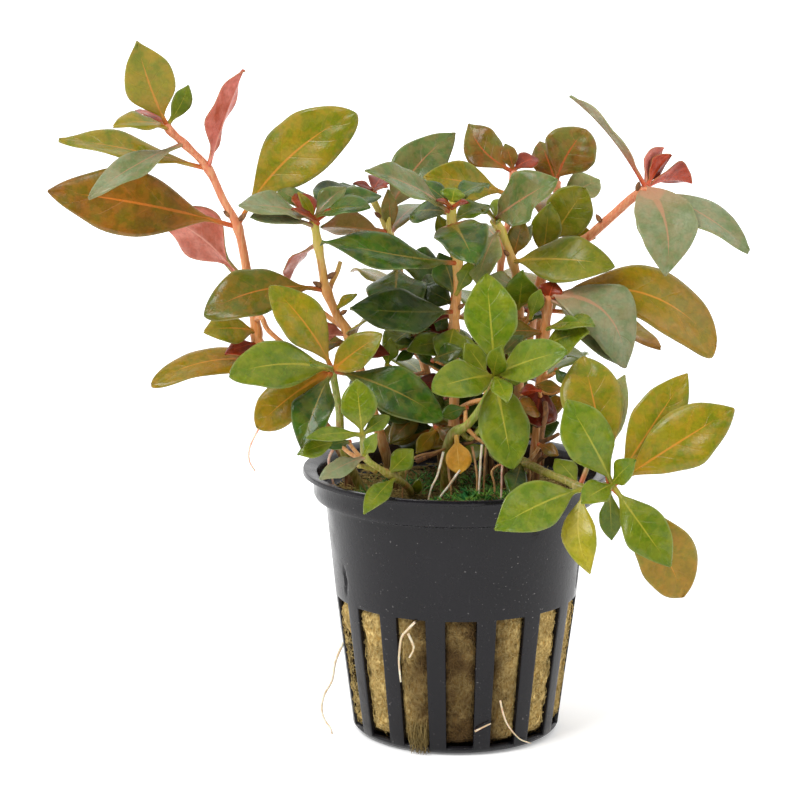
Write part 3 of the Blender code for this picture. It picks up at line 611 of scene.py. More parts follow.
SHOOTS = {
    "tall_left": {
        "stem": [
            (-19, 2, 43.0), (-20, 2, 49.5), (-28, 3, 60), (-35, 4, 68.5),
            (-36, 4, 73), (-37.5, 4, 83), (-39, 4, 90.5), (-41.5, 3.5, 95.5),
            (-44, 3, 101), (-47.5, 2, 105), (-50.5, 1, 108), (-51, 1, 109),
        ],
        "thick": (2.4, 1.2),
        "leaves": [
            leaf("olive", (-50.5, 0, 109.5), (-55.5, -4, 124), 9, (0.1, -1, 0.2), 1, 8, -0.5),
            leaf("grey", (-48.5, 0, 104.5), (-63.5, -11, 98), 6.5, (-0.1, -0.6, 0.8), 0.8, 12),
            leaf("olive", (-44.5, 3, 101), (-70.5, 5, 106.5), 7.5, (0.1, -0.5, 0.95), 0.8, 14),
            leaf("brown", (-39.5, 4, 90.5), (-72, 0, 97.5), 12.2, (0.05, -1, 0.45), 1, 6, 0.5),
            leaf("pink", (-37.5, 4, 77.5), (-54, 14, 92), 10.5, (0.35, 1, 0.2), 1.5, 10, -1.5),
            leaf("red", (-43.5, 3, 101.5), (-37.5, 2, 118.5), 7.5, (-1, 0.55, 0.25), -0.4, 22),
            leaf("olive", (-39, 4, 90.5), (-18, 2, 111), 12.2, (-0.1, -1, 0.4), 1.2, 6, -0.5),
            leaf("golden", (-32.5, 3, 66), (-54, -3, 63.5), 7.5, (-0.1, -0.6, 0.85), 1.5, 8),
        ],
        "small": [
            leaf("olive", (-51, 1, 108), (-59.5, -6, 109.5), 6, (0, -0.5, 0.9), 1, 15),
            leaf("green", (-51, 2, 109), (-47.5, 5, 115.5), 3.6, (0.2, -1, 0.3), 0.4, 10, 0.4),
            leaf("red", (-51, 2, 108.5), (-57, 6, 111), 4, (0.3, -0.4, 0.8), 0.6, 12),
            leaf("olive", (-36, 4, 71.5), (-44.5, -2, 73), 6.5, (0, -0.8, 0.6), 1, 8),
            leaf("red", (-35.5, 4, 69.5), (-41, -1, 68.5), 4, (0, -0.7, 0.7), 0.6, 8),
            leaf("olive", (-28, 3, 60), (-31, 19, 65), 8, (0.1, 0.4, 1), 1, 10),
        ],
    },
    "mid_left": {
        "stem": [
            (-10.5, -1, 43.0), (-12.5, -2, 50.5), (-16, -3, 62.5), (-19, -4, 72.5),
            (-21, -4, 76), (-23, -5, 81), (-23.5, -5, 84), (-24.5, -5, 90),
            (-25, -5, 93),
        ],
        "thick": (2.1, 1.4),
        "leaves": [
            leaf("brown", (-23.5, -5, 80.5), (-43.5, -13, 78), 10, (-0.05, -0.75, 0.65), 1.5, 8, 1.5),
            leaf("grey", (-25.5, -6, 93.5), (-37.5, -13, 96.5), 7.5, (0, -0.5, 0.85), 1, 14),
            leaf("dark", (-25, -4, 93), (-19, 5, 98), 8, (-0.2, -0.6, 0.8), 1, 15),
        ],
        "small": [
            leaf("dark", (-24.5, -6, 93), (-15, -11, 96), 6.5, (0, -0.45, 0.9), 1, 15),
            leaf("pink", (-24, -4, 89), (-30, 5, 81), 5.5, (-0.6, 0.35, 0.7), 1, 12),
            leaf("red", (-25.5, -3, 93.5), (-28.5, -1, 97), 5, (0.2, -0.5, 0.8), 0.8, 14),
            leaf("pink", (-19.5, -5, 72.5), (-27, -9, 72), 7, (0.1, 0.75, 0.6), 1, 10),
            leaf("olive", (-18.5, -6, 71), (-15, -10, 76.5), 5, (0, -0.5, 0.85), 1, 12),
        ],
    },
    "back_left": {
        "stem": [
            (-2.5, 9, 43.0), (-3, 9, 51), (-6.5, 9.5, 67.5), (-10.5, 10, 81.5),
            (-12.5, 10, 89.5), (-14, 10, 92.5), (-15, 10, 94.5), (-15.5, 10, 96.5),
        ],
        "thick": (2, 1.2),
        "leaves": [
            leaf("grey", (-13, 11, 90), (-0.5, 17, 106), 9, (-0.1, -1, 0.3), 1, 8, 0.6),
            leaf("dark", (-10.5, 9, 82), (-11, -6, 74.5), 11, (0, -0.8, 0.6), 2, 8),
        ],
        "small": [
            leaf("dark", (-15.5, 9, 96.5), (-21, 3, 94.5), 6.5, (-0.1, -0.5, 0.85), 1, 15),
            leaf("red", (-15, 11, 96), (-13.5, 16, 98), 4.5, (0.1, -0.6, 0.7), 0.6, 12),
            leaf("dark", (-10.5, 11, 82), (-3, 14, 82), 7, (0, -1, 0.3), 0.8, 8),
            leaf("green", (-8, 9, 71), (-13, 0, 69), 5.5, (0, -0.8, 0.6), 0.8, 8),
            leaf("dark", (-7, 9, 68.5), (-5.5, -1, 73), 5, (0, -0.7, 0.7), 0.8, 8),
            leaf("green", (-5, 9.5, 60), (-13, 24, 64), 8.5, (0, 0.3, 1), 1.2, 10),
            leaf("olive", (-9, 10, 76), (-19, 24, 80), 8.5, (-0.1, 0.4, 1), 1.2, 10),
            leaf("grey", (-12, 10, 88), (-6, 25, 92), 8, (0.1, 0.5, 1), 1.2, 10),
        ],
    },
    "centre": {
        "stem": [
            (-1, 2, 43.0), (-0.5, 0, 53), (-0.5, -2, 72), (-0.5, -2.5, 76),
            (0, -3, 80), (0, -3.5, 84), (0, -4, 87), (-1, -4, 92),
            (-1, -4, 96),
        ],
        "thick": (2.1, 1.4),
        "leaves": [
            leaf("grey", (-1.5, -5, 94), (-15.5, -14, 103), 9, (0.1, -0.5, 0.85), 1, 12),
            leaf("dark", (-1, -5, 92), (3, -15, 87), 9.6, (0.05, -0.85, 0.6), 1.5, 8),
            leaf("dark", (-0.5, -4, 85.5), (-23, -13, 91), 9, (0.05, -0.6, 0.8), 1.5, 10, -1.2),
            leaf("dark", (-0.5, -3, 76.5), (-18.5, -11, 78.5), 9.5, (0.1, -0.75, 0.65), 1.5, 8, -1.5),
        ],
        "small": [
            leaf("dark", (-1, -4, 95.5), (5.5, 0, 99), 6, (0, -0.2, 1), 0.8, 15),
            leaf("bright", (-1, -4, 96), (-0.5, -3, 98.5), 4.5, (0, -1, 0.3), 0.5, 10),
            leaf("dark", (-1, -3, 94), (-8.5, 4, 93), 6, (0, -0.8, 0.6), 0.8, 10),
            leaf("green", (0, -2, 74), (-2, -8, 68.5), 6.5, (0, -0.9, 0.5), 0.8, 8),
            leaf("green", (-0.5, -1.5, 70.5), (-8.5, -6, 70.5), 5.5, (0, -0.7, 0.7), 0.8, 8),
            leaf("golden", (-0.5, 0, 55), (-5.5, -8, 53.5), 4.5, (0, -1, 0.3), 0.5, 8),
            leaf("green", (-0.5, -1, 66), (-1, 13, 71), 7, (0, 0.3, 1), 1, 10),
        ],
    },
    "mid_right": {
        "stem": [
            (10.5, 3, 43.0), (11, 3, 52.5), (11, 3, 74), (10.5, 3, 77),
            (10.5, 3, 81.5), (10, 3, 84), (8, 3, 89.5), (6.5, 3, 92),
        ],
        "thick": (2.1, 1.4),
        "leaves": [
            leaf("grey", (7, 2, 92), (17, -6, 100.5), 10.5, (-0.1, -0.85, 0.6), 1.5, 12, 0.8),
            leaf("green", (10, 3, 84.5), (27, -5, 85.5), 9.5, (0, -0.8, 0.6), 1.8, 8, 1.2),
        ],
        "small": [
            leaf("pale", (7.5, 2, 90.5), (3.5, -6.5, 82), 6.5, (-0.3, -0.6, 0.6), 1, 10),
            leaf("bright", (6.5, 3, 92), (8, 6, 95.5), 3.5, (0, -0.8, 0.5), 0.5, 10),
            leaf("bright", (11, 2, 76), (11.5, -5, 84), 6.5, (0, -1, 0.35), 0.8, 8),
            leaf("pale", (10.5, 2, 79.5), (6, -3, 83), 4, (0, -0.8, 0.5), 0.5, 8),
            leaf("green", (11, 2, 72.5), (9.5, -6, 69), 5, (0, -0.9, 0.4), 0.6, 8),
        ],
    },
    "back_top": {
        "stem": [
            (6, 8, 43.0), (6.5, 8, 60), (8, 9, 86), (9, 11, 90), (9.5, 13, 95),
            (10, 14, 99.5),
        ],
        "thick": (1.6, 1.1),
        "leaves": [
            leaf("brown", (10, 14, 99.5), (2, 17, 107.5), 7.5, (0.2, -1, 0.35), 1, 10),
            leaf("olive", (9.5, 13, 95), (-6, 8, 99), 7.5, (0.1, -1, 0.4), 1, 8, -1),
        ],
        "small": [
            leaf("red", (10, 14, 99.5), (14.5, 17, 101.5), 4.5, (0, -0.6, 0.7), 0.5, 14),
            leaf("brown", (9.5, 12, 92.5), (12.5, 6, 87.5), 5, (0, 0.5, 0.8), 0.6, 10),
            leaf("green", (7, 8.5, 70), (0, 24, 76), 8, (0, 0.4, 1), 1.2, 10),
            leaf("olive", (8, 9, 85), (4, 25, 88), 8, (0, 0.5, 1), 1.2, 10),
        ],
    },
    "back_right": {
        "stem": [
            (15, 14, 43.0), (15.5, 14, 53.5), (15, 15, 76), (16.5, 16.5, 84.5),
            (18, 18, 91), (18, 18, 97),
        ],
        "thick": (2, 1.2),
        "leaves": [
            leaf("grey", (17, 16, 86), (23, 12, 96.5), 8.8, (-0.1, -1, 0.3), 1, 8),
            leaf("brown", (18, 18, 97), (23, 17, 106.5), 10, (-0.1, -1, 0.25), 1, 8, -0.6),
        ],
        "small": [
            leaf("pale", (18, 18, 93), (26, 24, 96.5), 6, (0, -0.8, 0.5), 0.8, 10),
            leaf("brown", (18, 18, 95.5), (15, 22, 104), 6.5, (0.1, -1, 0.3), 0.8, 10),
            leaf("green", (15.5, 14, 60), (24, 28, 64), 8.5, (0.1, 0.4, 1), 1.2, 10),
            leaf("olive", (15, 15, 74), (10, 30, 79), 8.5, (-0.1, 0.5, 1), 1.2, 10),
            leaf("brown", (17, 17, 88), (19, 31, 93), 8, (0, 0.6, 1), 1.2, 10),
        ],
    },
    "far_right": {
        "stem": [
            (10.5, 8, 43.0), (10.5, 8, 51), (15, 8, 80.5), (23.5, 5, 89),
            (28, 3, 93.5), (30.5, 2, 96), (33, 1, 98),
        ],
        "thick": (2.3, 1.6),
        "leaves": [
            leaf("pale", (32.5, 1, 98.5), (20, 5, 114), 7.5, (0.8, 0.05, 0.6), 1, 16),
            leaf("red", (33.5, 2, 98.5), (41.5, 9, 98.5), 8, (-0.2, 0.55, 0.8), 1, 22),
            leaf("grey", (33.5, -1, 97.5), (36, -9, 84), 10.8, (0.05, -1, 0.3), 1.5, 8),
            leaf("grey", (33.5, 0, 98), (51, -4, 88), 8.4, (0.25, -0.6, 0.8), 1.2, 12),
        ],
        "small": [
            leaf("red", (33, 2, 98), (36, 7, 104.5), 5.5, (-0.3, 0.5, 0.4), 0.6, 16),
            leaf("green", (12.5, 8, 66), (24.5, 9, 66), 7, (0.1, -0.1, 1), 1, 10),
        ],
    },
    "right_arch": {
        "stem": [
            (13, -4, 43.0), (14, -4, 53), (15, -4, 64.5), (15.5, -4, 73.5),
            (16, -4, 79.5),
        ],
        "thick": (2, 1.4),
        "leaves": [
            leaf("grey", (16, -5, 79.5), (29.5, -10, 68.5), 11.5, (0.25, -0.85, 0.5), 2.5, 8, -4.5),
            leaf("golden", (16, -2, 78.5), (46, 1, 70), 12, (0.1, -0.8, 0.6), 2.5, 8, -4.5),
        ],
        "small": [
            leaf("green", (16, -5, 73.5), (23.5, -15, 76.5), 5.5, (0, -0.6, 0.8), 0.8, 10),
            leaf("bright", (15.5, -5, 70.5), (22.5, -14, 75), 8, (0, -0.85, 0.5), 0.8, 8),
            leaf("red", (16, -3, 79), (17, -3, 82), 4.5, (0, -0.8, 0.5), 0.5, 12),
            leaf("golden", (16, -3, 77), (36.5, 6, 69), 7.5, (0, 0.5, 0.8), 1.5, 8),
            leaf("red", (15, -4, 64.5), (14, -10, 57.5), 8.5, (0, 0.8, 0.4), 1, 10),
        ],
    },
    "front_centre": {
        "stem": [
            (-2, -8, 43.0), (-1.5, -12, 55), (2, -13, 58.5), (4, -14, 61.5),
            (6, -15, 65.5), (6.5, -16, 67.5),
        ],
        "thick": (1.9, 1.2),
        "leaves": [
            leaf("bright", (6.5, -16, 68), (5, -13, 85), 9.4, (0.05, -1, 0.25), 1, 8),
            leaf("green", (5.5, -17, 67), (-4, -25, 67), 7.5, (0, -0.85, 0.6), 1, 8),
            leaf("bright", (8.5, -17, 68), (18.5, -24, 73.5), 7.5, (0, -0.85, 0.6), 1, 8),
            leaf("green", (7, -18, 66.5), (9.5, -25, 53.5), 8.8, (0, -1, 0.35), 1.2, 8),
        ],
        "small": [
            leaf("green", (6.5, -18, 68.5), (7.5, -22, 74), 4, (0, -0.8, 0.6), 0.6, 8),
            leaf("bright", (7, -19, 67.5), (8.5, -27, 65.5), 3.8, (0, -0.8, 0.6), 0.6, 8),
            leaf("yellow", (1, -13, 55.5), (0.5, -16, 50.5), 4.6, (0, -1, 0.2), 0.5, 8),
        ],
    },
    "low_right": {
        "stem": [
            (10, -4, 43.0), (10.5, -9, 47.5), (11, -14, 52), (15.5, -20, 51.5),
            (18.5, -23, 51), (21.5, -25, 50), (24.5, -26, 50.5), (26.5, -27, 51),
        ],
        "thick": (2, 1.2),
        "leaves": [
            leaf("olive", (26, -26, 51), (21.5, -21, 72), 10.5, (0.1, -1, 0.3), 1.5, 6),
            leaf("bright", (26, -28, 51.5), (18.5, -29, 66), 9, (0.1, -1, 0.35), 1.2, 8),
            leaf("olive", (26.5, -26, 51.5), (39, -23, 69.5), 8.6, (-0.05, -1, 0.3), 1.5, 8),
            leaf("olive", (27, -27, 51.5), (46.5, -28, 64.5), 10.4, (-0.1, -1, 0.35), 1.5, 8),
            leaf("green", (26.5, -28, 51), (36, -33, 38.5), 7.8, (-0.15, -1, 0.3), 1.2, 8),
            leaf("golden", (27, -25.5, 50), (39, -24, 30.5), 10.4, (-0.1, -1, 0.3), 1.5, 6, -0.5),
            leaf("bright", (21.5, -26, 50), (6.5, -34, 45), 9, (0.05, -0.9, 0.5), 1, 8, 0.5),
        ],
        "small": [
            leaf("bright", (21.5, -26, 50), (22.5, -32, 37), 6, (-0.2, -1, 0.3), 1, 8),
            leaf("green", (26, -26, 50.5), (26.5, -25, 41), 4, (0, -1, 0.3), 0.5, 8),
            leaf("bright", (26, -29, 51.5), (21, -33, 49.5), 5, (0, -0.8, 0.6), 0.6, 8),
            leaf("bright", (26.5, -29, 52), (30, -32, 56.5), 4.5, (0, -0.8, 0.6), 0.6, 8),
            leaf("bright", (21.5, -24, 50), (17, -18, 53.5), 4, (0, -0.8, 0.6), 0.6, 8),
            leaf("dark", (11, -15, 51.5), (9.5, -22, 48), 4, (0, -1, 0.3), 0.5, 8),
            leaf("pale", (21.5, -24, 50), (29, -14, 67.5), 6, (0, -1, 0.3), 1, 8),
        ],
    },
    "low_left": {
        "stem": [
            (-16, -5, 43.0), (-20, -8, 53), (-20.5, -11, 60.5), (-21.5, -14, 68),
        ],
        "thick": (1.9, 1.2),
        "leaves": [
            leaf("dark", (-20, -15, 67.5), (-2.5, -18, 60.5), 8.8, (0.05, -0.9, 0.5), 1.2, 8, -0.8),
            leaf("green", (-22.5, -15, 68), (-38.5, -23, 69), 9.4, (-0.05, -0.85, 0.55), 1.2, 8, 1),
            leaf("golden", (-21.5, -15, 67.5), (-34.5, -16, 58.5), 8, (-0.05, -0.85, 0.5), 1, 8),
            leaf("dark", (-21.5, -16, 67.5), (-26.5, -23, 56.5), 7.6, (-0.2, -0.9, 0.3), 1, 16),
            leaf("olive", (-21.5, -14, 69), (-32, -15, 83), 8.2, (0.1, -0.9, 0.4), 1, 10, 0.8),
        ],
        "small": [
            leaf("olive", (-21, -14, 68.5), (-13, -17, 75), 6.2, (0, -0.9, 0.5), 0.8, 8),
            leaf("green", (-21.5, -17, 68.5), (-24.5, -27, 71.5), 4, (0, -0.7, 0.7), 0.6, 8),
        ],
    },
    "front_left": {
        "stem": [
            (-8, -8, 43.0), (-8, -13, 46.5), (-10, -19, 50), (-13, -22, 52.5),
            (-15.5, -24, 55), (-16, -25, 59),
        ],
        "thick": (1.6, 0.9),
        "leaves": [],
        "small": [
            leaf("green", (-16, -25, 59), (-17, -24, 68.5), 6.4, (0, -1, 0.3), 0.8, 8),
            leaf("green", (-16.5, -26, 59), (-25, -31, 60), 3.2, (0, -0.7, 0.7), 0.6, 10),
            leaf("grey", (-16, -24, 55), (-23, -29, 52.5), 3.6, (0, -0.8, 0.6), 0.6, 8),
            leaf("green", (-15.5, -25, 59), (-11.5, -23, 62), 3, (0, -0.8, 0.6), 0.5, 8),
            leaf("green", (-11.5, -21, 51), (-7.5, -20, 55.5), 4.2, (0, -1, 0.3), 0.5, 8),
            leaf("green", (-10, -20, 50), (-15.5, -31, 47), 3.8, (0, -0.8, 0.6), 0.8, 8),
            leaf("bright", (-15.5, -25, 55), (-13.5, -28, 60), 2.6, (0, -1, 0.3), 0.5, 8),
        ],
    },
}

STEM_TINTS = {         # painted shade colour at the foot, then colours low down and high up, and the heights that they change at
    "orange": ("#4e3014", "#c8843e", "#c67450", 56, 100),
    "yellow_green": ("#5a4218", "#cc8e4c", "#bcae46", 78, 93),
    "green": ("#7a7426", "#949030", "#84952e", 44, 62),
}
FOOT_SHADE_FADE = (46, 62)   # heights between which the painted shade at the foot gives way
STEM_TINT_OF = {
    "mid_left": "yellow_green",
    "back_left": "yellow_green",
    "mid_right": "yellow_green",
    "centre": "yellow_green",
    "front_centre": "green",
    "front_left": "green",
    "low_right": "green",
    "low_left": "green",
}


def rounded_route(points, step):
    """A smooth line through the points, cut into short steps."""
    line = [Vector(p) for p in points]
    line = [2 * line[0] - line[1]] + line + [2 * line[-1] - line[-2]]
    route = []
    for before, start, end, after in zip(line, line[1:], line[2:], line[3:]):
        parts = max(1, round((end - start).length / step))
        for k in range(parts):
            t = k / parts
            route.append(
                0.5 * (2 * start + (end - before) * t + (2 * before - 5 * start + 4 * end - after) * t**2
                       + (3 * start - before - 3 * end + after) * t**3)
            )
    route.append(line[-2])
    return route


def nearest(point, route):
    """The point of a route that is nearest to this one."""
    return min(route, key=lambda other: (other - point).length)


def stem_finish(tint):
    """Living stem skin: smooth and waxy, with faint lengthwise streaks and darker, redder blotches."""
    foot, low, high, low_height, high_height = STEM_TINTS[tint]
    finish, tree, shader, place = new_finish(
        f"waxy_stem_skin_{tint}", Roughness=0.36, IOR=1.42, Subsurface_Weight=0.12, Subsurface_Scale=0.0008
    )
    height = add_node(tree, "ShaderNodeSeparateXYZ", {0: place}).outputs["Z"]
    stray = sum_of(tree, "MULTIPLY_ADD", grain(tree, place, 9.0), 16 * MM, height)
    rise = between(tree, stray, (low_height + 8) * MM, (high_height + 8) * MM)
    colour = blended(tree, rise, linear(low), linear(high))
    # The foot colour is painted shade low on the stem, which gives way higher up.
    above_foot_shade = between(tree, stray, (FOOT_SHADE_FADE[0] + 8) * MM, (FOOT_SHADE_FADE[1] + 8) * MM)
    colour = blended(tree, above_foot_shade, linear(foot), colour)
    streak = between(tree, grain(tree, place, 0.35, 2.0, (1, 1, 0.12)), 0.4, 0.68)
    colour = blended(tree, sum_of(tree, "MULTIPLY", streak, 0.28), colour, linear("#e8c48e"))
    blotch = between(tree, grain(tree, place, 1.8, 2.0, (1, 1, 0.5)), 0.56, 0.72)
    colour = blended(tree, sum_of(tree, "MULTIPLY", blotch, 0.45), colour, linear("#a04a26"))
    tree.links.new(colour, shader.inputs["Base Color"])
    raise_surface(tree, shader, streak, 0.05)
    return finish


def make_stem(name, shoot):
    """One tube through the stem's route, swollen where its leaves sit."""
    foot = Vector(shoot["stem"][0])
    sunk = Vector((foot.x * 0.97, foot.y * 0.97, STEM_SINK))
    route = rounded_route([sunk] + shoot["stem"], STEM_STEP)
    joints = [nearest(spec["root"], route) for spec in shoot["leaves"] + shoot["small"]]
    low, high = shoot["thick"]
    path = []
    for k, point in enumerate(route):
        radius = (low + (high - low) * k / (len(route) - 1)) / 2
        swell = max(math.exp(-(((point - joint).length / JOINT_LENGTH) ** 2)) for joint in joints)
        lump = 0.04 * noise.noise(point * 0.9)
        path.append((*point, radius * (1 + JOINT_SWELL * swell) + lump))
    x, y, z, radius = path[-1]
    path.append((x, y, z + 0.3, radius * 0.6))
    return tubes("shoot_stem_" + name, [path], sides=4), route


stem_finishes = {tint: stem_finish(tint) for tint in STEM_TINTS}
routes = {}
for name, shoot in SHOOTS.items():
    stem, routes[name] = make_stem(name, shoot)
    finished(stem, stem_finishes[STEM_TINT_OF.get(name, "orange")], "stem_skin", "stem_" + name)

# Leaves: thin oval blades in pairs on short stalks, glossy above and paler or pink beneath, with a
# coloured midrib, faint side veins between which the blade bulges, and a slightly waved margin.
BLADE_COLUMNS = 14
BLADE_ROWS = 34
SMALL_COLUMNS = 8
SMALL_ROWS = 18
PETIOLE_WIDTH = 0.8
BASE_POWER = 1.35      # how hollow the blade runs down into its stalk
BLADE_THICK = 0.26     # millimetres, at the middle of each half
MARGIN_THICK = 0.14
RIB_THICK = 0.85       # stalk and midrib at the base
THICKEST = 1.0
VEINS = 6.5            # side veins along each half
ROUND_TIPS = {         # leaves that are wider and blunter than most: (stalk, widest, tip power, base power)
    "blade_tall_left_7": (0.12, 0.54, 0.55, 1.9),
    "blade_tall_left_4": (0.14, 0.52, 0.8),
    "blade_right_arch_2": (0.05, 0.7, 0.32, 0.9),
    "blade_right_arch_1": (0.05, 0.5, 0.65, 0.85),
    "blade_low_left_1": (0.1, 0.55, 0.6),
    "blade_low_left_2": (0.06, 0.55, 0.6),
    "blade_low_right_6": (0.14, 0.62, 0.6),
    "blade_low_right_1": (0.14, 0.62, 0.6),
    "blade_back_right_2": (0.1, 0.55, 0.5),
    "blade_back_right_1": (0.1, 0.58, 0.5),
    "blade_front_centre_4": (0.06, 0.55, 0.6, 1.0),
    "blade_front_centre_2": (0.08, 0.5, 0.55, 1.0),
    "blade_front_centre_3": (0.08, 0.5, 0.6, 1.1),
    "blade_mid_right_2": (0.06, 0.55, 0.7),
    "blade_mid_left_1": (0.14, 0.58, 0.6),
    "blade_centre_2": (0.02, 0.45, 0.7, 0.55),
    "blade_far_right_3": (0.02, 0.48, 0.9, 0.55),
    "blade_low_left_3": (0.05, 0.55, 0.45, 0.8),
    "blade_tall_left_5": (0.3, 0.5, 0.8, 1.35),
    "blade_tall_left_8": (0.06, 0.5, 0.5, 0.8),
    "young_leaves_front_centre_3": (0.36, 0.52, 0.5, 0.55),
    "young_leaves_low_left_1": (0.05, 0.5, 0.6, 1.0),
}
OWN_SWEEP = {          # leaves that bow sideways by another amount than their solid does
    "blade_tall_left_3": -0.8,
    "blade_tall_left_6": 1.6,
    "blade_tall_left_7": -2.2,
    "blade_tall_left_8": 1.7,
    "blade_back_left_1": -1.6,
    "blade_back_top_1": -1.8,
    "blade_back_top_2": 0.5,
    "blade_centre_3": -2.8,
    "blade_mid_right_2": 0.4,
    "blade_far_right_3": -1.8,
    "blade_right_arch_1": -3.6,
    "blade_right_arch_2": -5.2,
    "blade_low_right_6": -1.6,
    "blade_low_left_3": 0.4,
    "young_leaves_low_right_1": 1.5,
}
VEIN_SLANT = 1.35      # how far a vein runs forward on its way to the margin, in vein spacings
QUILT = 0.13           # how far the blade bulges between two veins
RAGGED = 0.09          # how far the margin strays from a clean oval

# Each tone: main and second colour, midrib and stalk colour of the upper side, then of the lower.
TONES = {
    "olive": (("#837a14", "#6b7010", "#c07c2c"), ("#94823e", "#a07440", "#c48a50")),
    "olive_brown": (("#655910", "#565a10", "#b06828"), ("#86703a", "#90623a", "#b07848")),
    "brown": (("#6d5a10", "#724e10", "#c06c28"), ("#90703c", "#9a603e", "#c48250")),
    "golden": (("#7f700e", "#896c10", "#c8822c"), ("#9a8432", "#a27432", "#cc9650")),
    "green": (("#63720e", "#52680e", "#9c9230"), ("#848e4c", "#768242", "#a49e58")),
    "green_gold": (("#6f7212", "#616b10", "#ac8c34"), ("#8e8c48", "#847c40", "#aca058")),
    "bright": (("#6a780e", "#58700e", "#a09a32"), ("#8c984e", "#7c8844", "#aca860")),
    "lime": (("#a09426", "#8a8a1c", "#b8a848"), ("#a8a050", "#989248", "#b8b068")),
    "dark": (("#39580e", "#27400e", "#84702c"), ("#62723e", "#6c5a3a", "#947648")),
    "deep_green": (("#2c4210", "#1e300c", "#5c5a24"), ("#50603a", "#584c34", "#7a6642")),
    "grey": (("#5f6f38", "#50622c", "#a8704e"), ("#888f6c", "#937c64", "#b0886c")),
    "silver": (("#7b835e", "#69764a", "#a87a5c"), ("#989c80", "#98866c", "#b0907a")),
    "red": (("#8e3010", "#6e240a", "#b84a24"), ("#a83818", "#86280e", "#c4522e")),
    "rose": (("#b45a48", "#9a4630", "#d08070"), ("#c4685a", "#a84e3a", "#dc9484")),
    "deep_red": (("#5e1c0e", "#48180a", "#7e3018"), ("#661e10", "#4e180c", "#84341c")),
    "pink": (("#666c18", "#7a5218", "#bc6a54"), ("#c87866", "#b45e48", "#d89884")),
    "pale": (("#868c4e", "#747c42", "#b4885a"), ("#a4a87a", "#96986e", "#b89878")),
    "pale_blushing": (("#8a9068", "#788054", "#a03824"), ("#a4a484", "#969070", "#a83822")),
    "bronze": (("#6c6828", "#66480f", "#b4522a"), ("#78703c", "#74562a", "#b86040")),
    "yellow": (("#e0a63c", "#c88c2c", "#e4bc68"), ("#dcae58", "#bc8a40", "#dcb470")),
}
BLUSH = {"pale_blushing": 0.95}
BLUSH_USUAL = 0.35
STALK_RED = "#b84e2c"
GREEN_STALKS = ("green", "bright", "lime", "yellow", "green_gold", "silver")
OWN_TONES = {          # leaves whose tone differs from that of the others of their kind
    "blade_tall_left_2": "silver",
    "blade_tall_left_6": "rose",
    "blade_mid_left_1": "olive_brown",
    "blade_mid_left_2": "silver",
    "blade_mid_right_2": "green_gold",
    "blade_back_left_1": "grey",
    "blade_far_right_1": "pale_blushing",
    "blade_far_right_3": "silver",
    "blade_far_right_4": "silver",
    "blade_right_arch_1": "silver",
    "blade_centre_4": "deep_green",
    "blade_back_top_1": "bronze",
    "blade_back_right_1": "green_gold",
    "blade_back_right_2": "bronze",
    "young_leaves_back_right_2": "bronze",
    "young_leaves_front_left_3": "silver",
    "young_leaves_low_right_1": "lime",
    "young_leaves_right_arch_5": "deep_red",
    "young_leaves_far_right_1": "rose",
}


def half_width(share, width, form):
    """Half of the blade's width at a share of its length: a narrow stalk that the blade runs down
    into, the widest place, and a pointed tip. The form is (stalk, widest, tip power, base power)."""
    stalk_share, widest, tip_power, base_power = form
    blade = max(0.0, (share - stalk_share) / (1 - stalk_share))
    if blade < widest:
        oval = math.sin(math.pi / 2 * blade / widest) ** base_power
    else:
        oval = math.sin(math.pi / 2 * (1 - blade) / (1 - widest)) ** tip_power
    stalk = PETIOLE_WIDTH / 2 * (1 - blade) ** 2
    return max(stalk, width / 2 * oval, 0.02)


def blade_sheet(name, columns, rows):
    """The flat sheet that every leaf of one size is shaped from, one unit wide and long."""
    bpy.ops.mesh.primitive_grid_add(x_subdivisions=columns, y_subdivisions=rows, size=1, calc_uvs=True)
    sheet = bpy.context.object
    sheet.name = name
    sheet.select_set(False)
    return sheet


